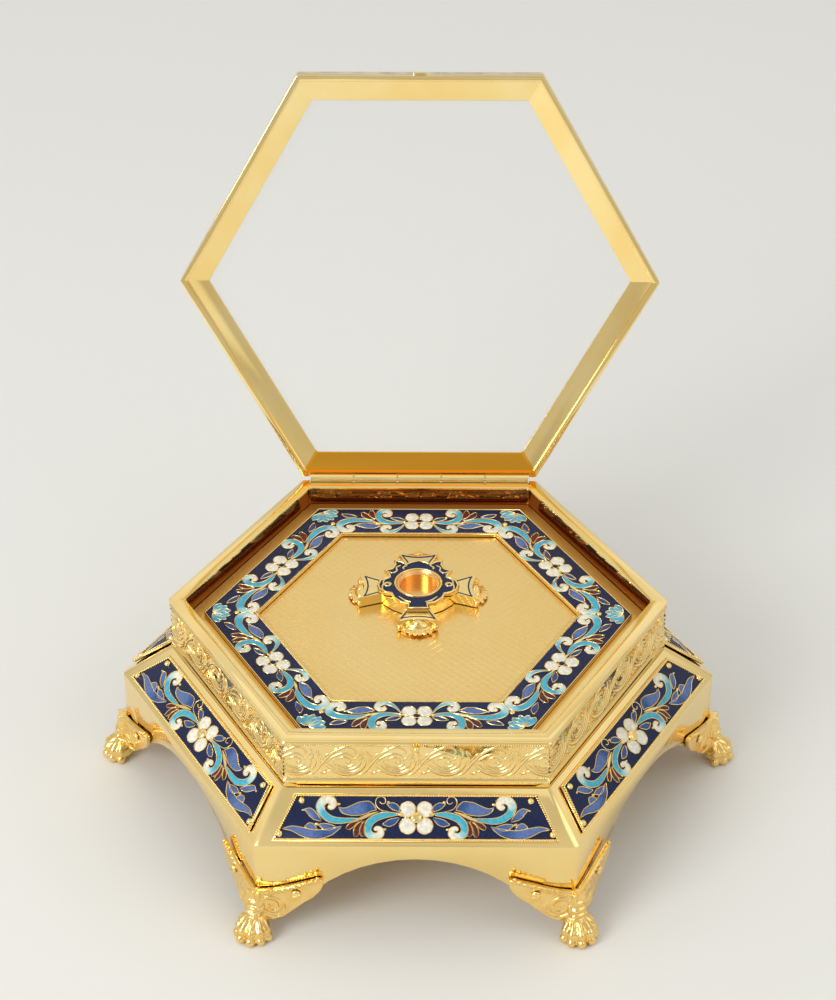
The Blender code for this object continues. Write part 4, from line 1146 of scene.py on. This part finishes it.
@dataclass
class RelicCross:
    """Cross on the tray: arms with enamel lines, cartouche, capsule and shells."""

    top: float = 69.0

    def build(self, dresser: Dresser) -> None:
        """Dresses the cross and adds its fine parts."""
        finishes = dresser.finishes
        home = shift(0, dresser.middle + CROSS_SETBACK, 0)
        dresser.piece(refined("relic_cross", "cross_block", 0.22), finishes.mirror,
                      stands_for=["relic_cross"])
        dresser.node("relic_cartouche", finishes.cartouche_plate)
        self.capsule(dresser, home)
        self.arms(dresser, home)
        self.border(dresser, home)
        self.shells(dresser, home)

    def capsule(self, dresser: Dresser, home: Matrix) -> None:
        """Stepped bezel with the round well."""
        made = lathe("capsule", [(0, 65.8), (6.6, 65.8), (6.6, 69.6), (7.05, 70.0), (7.6, 70.05), (7.75, 70.1),
                                 (8.1, 70.62), (8.5, 70.70), (8.78, 70.62), (8.9, 70.35), (8.9, 69.35), (7.4, 69.3),
                                 (7.4, 65.0), (0, 65.0)], 96)
        smoothed(placed(made, home), 30)
        dresser.piece(made, dresser.finishes.copper, stands_for=["relic_capsule"])
        rims = [[(Vector((r * math.cos(t), r * math.sin(t), z)), w)
                 for t in (2 * math.pi * k / 72 for k in range(72))]
                for r, z, w in ((7.35, 70.1, 0.28), (8.45, 70.72, 0.34))]
        rim = tubes("capsule_rims", rims, True, 2)
        smoothed(placed(rim, home), 80)
        dresser.piece(rim, dresser.finishes.mirror)

    def arms(self, dresser: Dresser, home: Matrix) -> None:
        """Enamel line inside the edge of every arm."""
        line = Stroke(((10.4, 2.9), (13.6, 3.3), (18.6, 5.6), (19.6, 6.0), (19.2, 5.2), (18.6, 2.8), (18.3, 0.0)),
                      (0.32,), (Glaze.NAVY,), wired=False)
        flipped = replace(line, path=tuple((x, -y) for x, y in line.path))
        made = cells("cross_lines", [line, flipped], 0.12)
        turns = [home @ shift(0, 0, self.top) @ turn(90 * k, "Z") for k in range(4)]
        dresser.piece(repeated("cross_lines", made, turns), dresser.finishes.cells)

    def border(self, dresser: Dresser, home: Matrix) -> None:
        """Gilt border and small scrolls on the cartouche."""
        right = ((0.0, -15.5), (3.5, -15.5), (3.1, -12.6), (6.1, -11.9), (8.6, -9.2), (9.4, -6.6), (11.8, -5.8),
                 (13.9, -4.1), (14.5, -1.5), (13.8, 1.3), (12.0, 2.9), (10.3, 3.5), (10.5, 5.0), (12.0, 7.4),
                 (9.6, 8.5), (8.4, 11.0), (8.6, 13.4), (6.4, 13.1), (4.5, 11.3), (2.6, 12.8), (0.0, 13.7))
        outline = [Vector((x, y)) for x, y in right] + [Vector((-x, y)) for x, y in reversed(right[1:-1])]
        line = [(Vector((*point, 0.05)), 0.42) for point in outline]
        curls = []
        for hand in (1, -1):
            for path in (((9.6, -6.3), (12.6, -4.6), (12.9, -1.4), (11.2, 0.2), (10.4, -1.2), (11.2, -2.0)),
                         ((10.2, 3.4), (12.4, 1.8), (12.6, -0.8), (10.9, -1.9), (9.9, -0.6), (10.7, 0.4)),
                         ((11.0, 7.0), (9.4, 6.2), (7.9, 7.6), (8.1, 9.6), (6.6, 10.9)),
                         ((4.2, 11.0), (5.6, 9.6), (5.2, 8.4)),
                         ((2.6, -11.6), (4.8, -10.6), (6.9, -8.4))):
                curls.append(Stroke(tuple((hand * x, y) for x, y in path), (0.20, 0.36, 0.20), wired=False))
        parts = [tubes("border", [line], True, 2), cells("curls", curls, 0.36)]
        made = placed(joined("cartouche_border", parts), home @ shift(0, 0, CARTOUCHE_TOP))
        smoothed(made, 60)
        dresser.piece(made, dresser.finishes.mirror)

    def shells(self, dresser: Dresser, home: Matrix) -> None:
        """Ribbed shell at the end of every arm."""
        parts = [ball((3.4, 6.6, 2.1), (20.4, 0, 65.3), 20, 12), ball((2.6, 4.4, 2.9), (20.8, 0, 65.9), 20, 12)]
        for degrees, reach in ((-84, 7.0), (-58, 6.0), (-34, 5.2), (-11, 5.0), (11, 5.0), (34, 5.2), (58, 6.0), (84, 7.0)):
            a = math.radians(degrees)
            tips = [(20.5 + reach * share * math.cos(a), reach * share * math.sin(a)) for share in (0.12, 0.62, 1.0)]
            made = cells("lobe", [Stroke(tuple(tips), (0.30, 0.80, 1.00, 0.70))], 1.5)
            for vert in made.data.vertices:
                away = math.hypot(vert.co.x / MM - 20.5, vert.co.y / MM)
                vert.co.z += (67.3 - 0.34 * away) * MM
            parts.append(made)
        parts += [ball((1.5, 1.7, 1.2), (20.9, 0, 68.2), 14, 8), ball((1.1, 1.3, 1.2), (21.3, 6.4, 66.4), 12, 8),
                  ball((1.1, 1.3, 1.2), (21.3, -6.4, 66.4), 12, 8)]
        shell = joined("shell", parts)
        modified(shell, "REMESH", mode="VOXEL", voxel_size=0.16 * MM)
        with editing(shell):
            bpy.ops.mesh.bisect(plane_co=(0, 0, 65.0 * MM), plane_no=(0, 0, -1), use_fill=True, clear_outer=True)
            bpy.ops.mesh.select_all(action="SELECT")
            bpy.ops.mesh.bisect(plane_co=(20.12 * MM, 0, 0), plane_no=(-1, 0, 0), use_fill=True, clear_outer=True)
        modified(shell, "SMOOTH", factor=0.5, iterations=1)
        smoothed(shell, 60)
        turns = [home @ turn(90 * k, "Z") for k in range(4)]
        dresser.piece(repeated("arm_shells", shell, turns), dresser.finishes.cast,
                      stands_for=[f"arm_ornament_{k + 1}" for k in range(4)])


@dataclass
class Lid:
    """Glazed lid with its frame and hinge."""

    round_edge: float = 0.2

    def build(self, dresser: Dresser) -> None:
        """Dresses the lid and the hinge."""
        finishes = dresser.finishes
        dresser.piece(refined("lid_frame", "lid_rails", self.round_edge), finishes.rails, Body.LID,
                      stands_for=["lid_frame"])
        dresser.node("lid_glass", finishes.pane)
        dresser.node("hinge_leaf_lid", finishes.satin)
        dresser.node("hinge_leaf_case", finishes.satin)
        dresser.node("hinge_pin", finishes.satin)


@dataclass
class LionFeet:
    """Six cast lion paws under beaded wings, and their screws."""

    voxel: float = 0.30
    wing_length: float = 23.0
    wing_top: float = 25.0
    wing: tuple[Point, ...] = ((-0.14, 0.784), (0.00, 0.784), (0.25, 0.815), (0.50, 0.875), (0.75, 0.945),
                               (0.92, 0.995), (0.985, 0.985), (1.0, 0.95), (0.985, 0.87), (0.94, 0.78), (0.84, 0.67),
                               (0.71, 0.58), (0.53, 0.432), (0.38, 0.312), (0.2, 0.27), (-0.14, 0.26))
    screw: float = 1.7

    def build(self, dresser: Dresser) -> None:
        """Sculpts one foot and copies it to the corners."""
        foot = self.foot()
        for index in range(SIDES):
            made = copied(foot, dresser.around(index))
            made.name = f"lion_foot_{index + 1}"
            made.data.name = made.name
            smoothed(made, 70)
            dresser.piece(made, dresser.finishes.cast, stands_for=[f"foot_{index + 1}"])
        bpy.data.objects.remove(foot)
        screws = [dresser.around(index) @ self.wall(hand) @ shift(13.5 * hand, 18.6, 2.2) @ turn(20, "Z")
                  for index in range(SIDES) for hand in (1, -1)]
        head = slotted_screw("foot_screws", self.screw, 1.5)
        dresser.piece(repeated("foot_screws", head, screws), dresser.finishes.satin,
                      stands_for=[f"foot_screw_{k + 1}" for k in range(2 * SIDES)])

    def wall(self, hand: int) -> Matrix:
        """Frame on a skirt face beside the corner along +X: X along the face, Y up, Z out."""
        facing = math.radians(30 * hand)
        return Matrix((
            (-math.sin(facing), 0, math.cos(facing), SKIRT_CORNER * MM),
            (math.cos(facing), 0, math.sin(facing), 0),
            (0, 1, 0, 0),
            (0, 0, 0, 1),
        ))

    def wing_parts(self, hand: int) -> list[bpy.types.Object]:
        """One wing: plate, beaded top, leaf scrolls."""
        curve = bpy.data.curves.new("wing", "CURVE")
        curve.dimensions = "2D"
        curve.fill_mode = "BOTH"
        curve.extrude = 0.68 * MM
        curve.bevel_depth = 0.12 * MM
        curve.offset = -0.12 * MM
        spline = curve.splines.new("POLY")
        spline.points.add(len(self.wing) - 1)
        spline.use_cyclic_u = True
        for point, (s, z) in zip(spline.points, self.wing):
            point.co = (hand * s * self.wing_length * MM, z * self.wing_top * MM, 0, 1)
        plate = bpy.data.objects.new("wing", curve)
        bpy.context.scene.collection.objects.link(plate)
        pick(plate)
        bpy.ops.object.convert(target="MESH")
        plate = placed(bpy.context.view_layer.objects.active, shift(0, 0, 1.1))
        tidied(plate)
        parts = [plate]
        for k in range(11):
            s = 1.4 + 1.95 * k
            z = 18.3 + 0.012 * s * s - 0.02 * s + 0.11 * s
            grain = 0.62 if k % 2 else 0.74
            parts.append(ball((grain * 1.1, grain, 0.62), (hand * s, z, 1.95), 10, 8))
        scrolls = [
            Stroke(((1.5, 15.8), (4.4, 17.0), (7.4, 15.6), (8.0, 12.4), (5.6, 10.6), (3.4, 12.0), (4.4, 13.8)),
                   (0.6, 0.95, 1.0, 0.9, 0.8, 0.7, 0.75)),
            Stroke(((2.0, 9.6), (4.4, 8.4), (7.0, 8.2)), (0.9, 1.1, 0.4)),
            Stroke(((9.2, 15.6), (10.3, 13.2), (9.6, 10.4)), (0.3, 0.75, 0.3)),
            Stroke(((0.6, 19.3), (6.0, 19.9), (12.0, 21.3), (18.0, 23.2), (21.8, 24.4)), (0.45, 0.42, 0.35)),
            Stroke(((2.2, 7.6), (5.0, 7.4), (8.2, 8.6), (10.4, 9.6)), (0.4, 0.8, 0.7, 0.15)),
        ]
        if hand < 0:
            scrolls = [stroke.mirrored() for stroke in scrolls]
        parts.append(placed(cells("scrolls", scrolls, 2.0, sunk=0.4), shift(0, 0, 1.85)))
        return [placed(part, self.wall(hand)) for part in parts]

    def foot(self) -> bpy.types.Object:
        """One foot at the corner along +X, remeshed to one casting."""
        parts = self.wing_parts(1) + self.wing_parts(-1)
        c = SKIRT_CORNER
        parts += [
            ball((2.4, 3.3, 5.6), (c + 0.6, 0, 14.4)),
            ball((2.9, 3.1, 3.6), (c + 1.2, 0, 10.0)),
            ball((5.4, 6.0, 4.1), (c + 2.9, 0, 3.9), 24, 16),
            ball((1.5, 2.9, 1.1), (c + 3.0, 0, 12.9)),
            ball((1.5, 3.3, 1.0), (c + 3.2, 0, 10.6)),
            ball((1.3, 2.3, 1.1), (c + 2.5, 0, 15.2)),
        ]
        for fan, long in ((-74, 0.78), (-44, 0.90), (-15, 1.0), (15, 1.0), (44, 0.90), (74, 0.78)):
            toe = [
                placed(ball((3.8, 1.25, 1.7), (0, 0, 0)), shift(4.3 * long, 0, 6.9) @ turn(36, "Y")),
                ball((1.9, 1.68, 2.0), (6.4 * long, 0, 4.6)),
                ball((2.0, 1.72, 1.95), (7.1 * long, 0, 1.7)),
                placed(ball((2.4, 0.34, 0.6), (0, 0, 0), 10, 8), shift(3.8 * long, 0.7, 8.2) @ turn(32, "Y")),
                placed(ball((2.4, 0.34, 0.6), (0, 0, 0), 10, 8), shift(3.8 * long, -0.7, 8.2) @ turn(32, "Y")),
            ]
            lie = shift(c + 1.0, 0, 0) @ turn(fan, "Z")
            parts += [placed(part, lie) for part in toe]
        for hand in (1, -1):
            for k in range(3):
                tuft = ball((1.0, 0.8, 2.2 - 0.3 * k), (c + 1.4 + 0.9 * k, hand * (3.0 - 0.7 * k), 12.6 - 0.5 * k), 10, 8)
                parts.append(tuft)
        made = joined("foot", parts)
        modified(made, "REMESH", mode="VOXEL", voxel_size=self.voxel * MM)
        modified(made, "SMOOTH", factor=0.5, iterations=1)
        bpy.ops.mesh.primitive_cylinder_add(vertices=6, radius=(SKIRT_SIDE + 0.3) / math.cos(math.radians(30)) * MM,
                                            depth=60 * MM)
        skirt = placed(bpy.context.object, shift(0, 0, 45.7))
        modified(made, "BOOLEAN", operation="DIFFERENCE", object=skirt, solver="EXACT")
        bpy.data.objects.remove(skirt)
        for vert in made.data.vertices:
            vert.co.z = max(vert.co.z, 0.02 * MM)
        return made


@dataclass
class Studio:
    """Pale floor, soft lights and the camera of the view from the front."""

    elevation: float = 34.05
    azimuth: float = 0.4
    distance: float = 865.8
    target_height: float = 115.6
    lens: float = 89.0

    def build(self, dresser: Dresser) -> None:
        """Makes the studio."""
        self.floor(dresser)
        self.sky()
        self.camera(dresser)
        self.lamp("key", (-1.15, -1.15, 1.0), 0.9, 17.0)
        self.lamp("fill", (1.1, -0.5, 1.1), 0.9, 1.5)
        self.lamp("top", (0.1, 0.3, 1.7), 1.5, 2.0)
        bpy.context.scene.view_settings.view_transform = "Standard"

    def floor(self, dresser: Dresser) -> None:
        """Large sheet of paper under the casket."""
        bpy.ops.mesh.primitive_plane_add(size=9.0, location=(0, 1.0, -0.0001))
        made = placed(bpy.context.object, Matrix.Identity(4))
        made.name = "studio_floor"
        made.data.materials.append(dresser.finishes.floor)

    def sky(self) -> None:
        """Soft light from all round, darker behind the camera and near the horizon in front."""
        world = bpy.data.worlds.new("studio")
        bpy.context.scene.world = world
        world.use_nodes = True
        nodes, links = world.node_tree.nodes, world.node_tree.links
        where = nodes.new("ShaderNodeTexCoord")
        parts = nodes.new("ShaderNodeSeparateXYZ")
        ramp = nodes.new("ShaderNodeValToRGB")
        stops = ramp.color_ramp.elements
        for _ in range(2):
            stops.new(0.5)
        for stop, (place, grey) in zip(stops, ((0.0, 0.62), (0.35, 0.78), (0.60, 1.06), (0.88, 0.72))):
            stop.position = place
            stop.color = (grey, grey * 0.99, grey * 0.965, 1.0)
        front = nodes.new("ShaderNodeVectorMath")
        front.operation = "DOT_PRODUCT"
        front.inputs[1].default_value = (0.0, -math.cos(math.radians(33)), math.sin(math.radians(33)))
        shade = nodes.new("ShaderNodeMapRange")
        shade.interpolation_type = "SMOOTHSTEP"
        for name, value in (("From Min", 0.90), ("From Max", 0.975), ("To Min", 0.0), ("To Max", 0.35)):
            shade.inputs[name].default_value = value
        mix = nodes.new("ShaderNodeMix")
        mix.data_type = "RGBA"
        mix.inputs[7].default_value = (0.02, 0.018, 0.015, 1.0)
        links.new(where.outputs["Generated"], parts.inputs[0])
        links.new(where.outputs["Generated"], front.inputs[0])
        links.new(front.outputs["Value"], shade.inputs["Value"])
        links.new(parts.outputs["Z"], ramp.inputs[0])
        links.new(ramp.outputs[0], mix.inputs[6])
        links.new(shade.outputs["Result"], mix.inputs[0])
        back = nodes["Background"]
        links.new(mix.outputs[2], back.inputs[0])
        back.inputs[1].default_value = 0.88

    def lamp(self, name: str, where: tuple[float, float, float], size: float, power: float) -> None:
        """Large soft square lamp that points at the casket."""
        data = bpy.data.lights.new(name, "AREA")
        data.size = size
        data.energy = power
        made = bpy.data.objects.new(name, data)
        made.location = where
        made.rotation_euler = (Vector((0, 0, 0.06)) - Vector(where)).to_track_quat("-Z", "Y").to_euler()
        bpy.context.scene.collection.objects.link(made)

    def camera(self, dresser: Dresser) -> None:
        """Camera at the front, above the casket."""
        up, side = math.radians(self.elevation), math.radians(self.azimuth)
        back = Vector((math.sin(side) * math.cos(up), -math.cos(side) * math.cos(up), math.sin(up)))
        target = Vector((0, dresser.middle, self.target_height)) * MM
        data = bpy.data.cameras.new("camera")
        data.sensor_width = 36.0
        data.sensor_fit = "AUTO"
        data.lens = self.lens
        made = bpy.data.objects.new("camera", data)
        made.location = target + back * self.distance * MM
        made.rotation_euler = (-back).to_track_quat("-Z", "Y").to_euler()
        bpy.context.scene.collection.objects.link(made)
        bpy.context.scene.camera = made


def main() -> None:
    """Builds and dresses the casket, sub-assembly by sub-assembly."""
    logging.basicConfig(level=logging.INFO, format="%(name)s %(message)s")
    bpy.ops.object.select_all(action="DESELECT")
    dresser = Dresser()
    for part in (Studio(), CaseAndPlinth(), EnamelRing(), Plaques(), RelicCross(), Lid(), LionFeet()):
        LOG.info("building %s", type(part).__name__)
        part.build(dresser)


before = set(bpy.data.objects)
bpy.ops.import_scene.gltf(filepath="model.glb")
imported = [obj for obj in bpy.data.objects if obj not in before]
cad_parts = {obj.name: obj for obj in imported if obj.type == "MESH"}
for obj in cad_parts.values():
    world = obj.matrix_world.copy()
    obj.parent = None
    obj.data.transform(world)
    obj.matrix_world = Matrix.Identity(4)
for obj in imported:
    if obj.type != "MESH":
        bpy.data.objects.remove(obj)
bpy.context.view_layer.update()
FRAME_BOX = {name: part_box(name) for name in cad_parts}

if __name__ == "__main__":
    main()
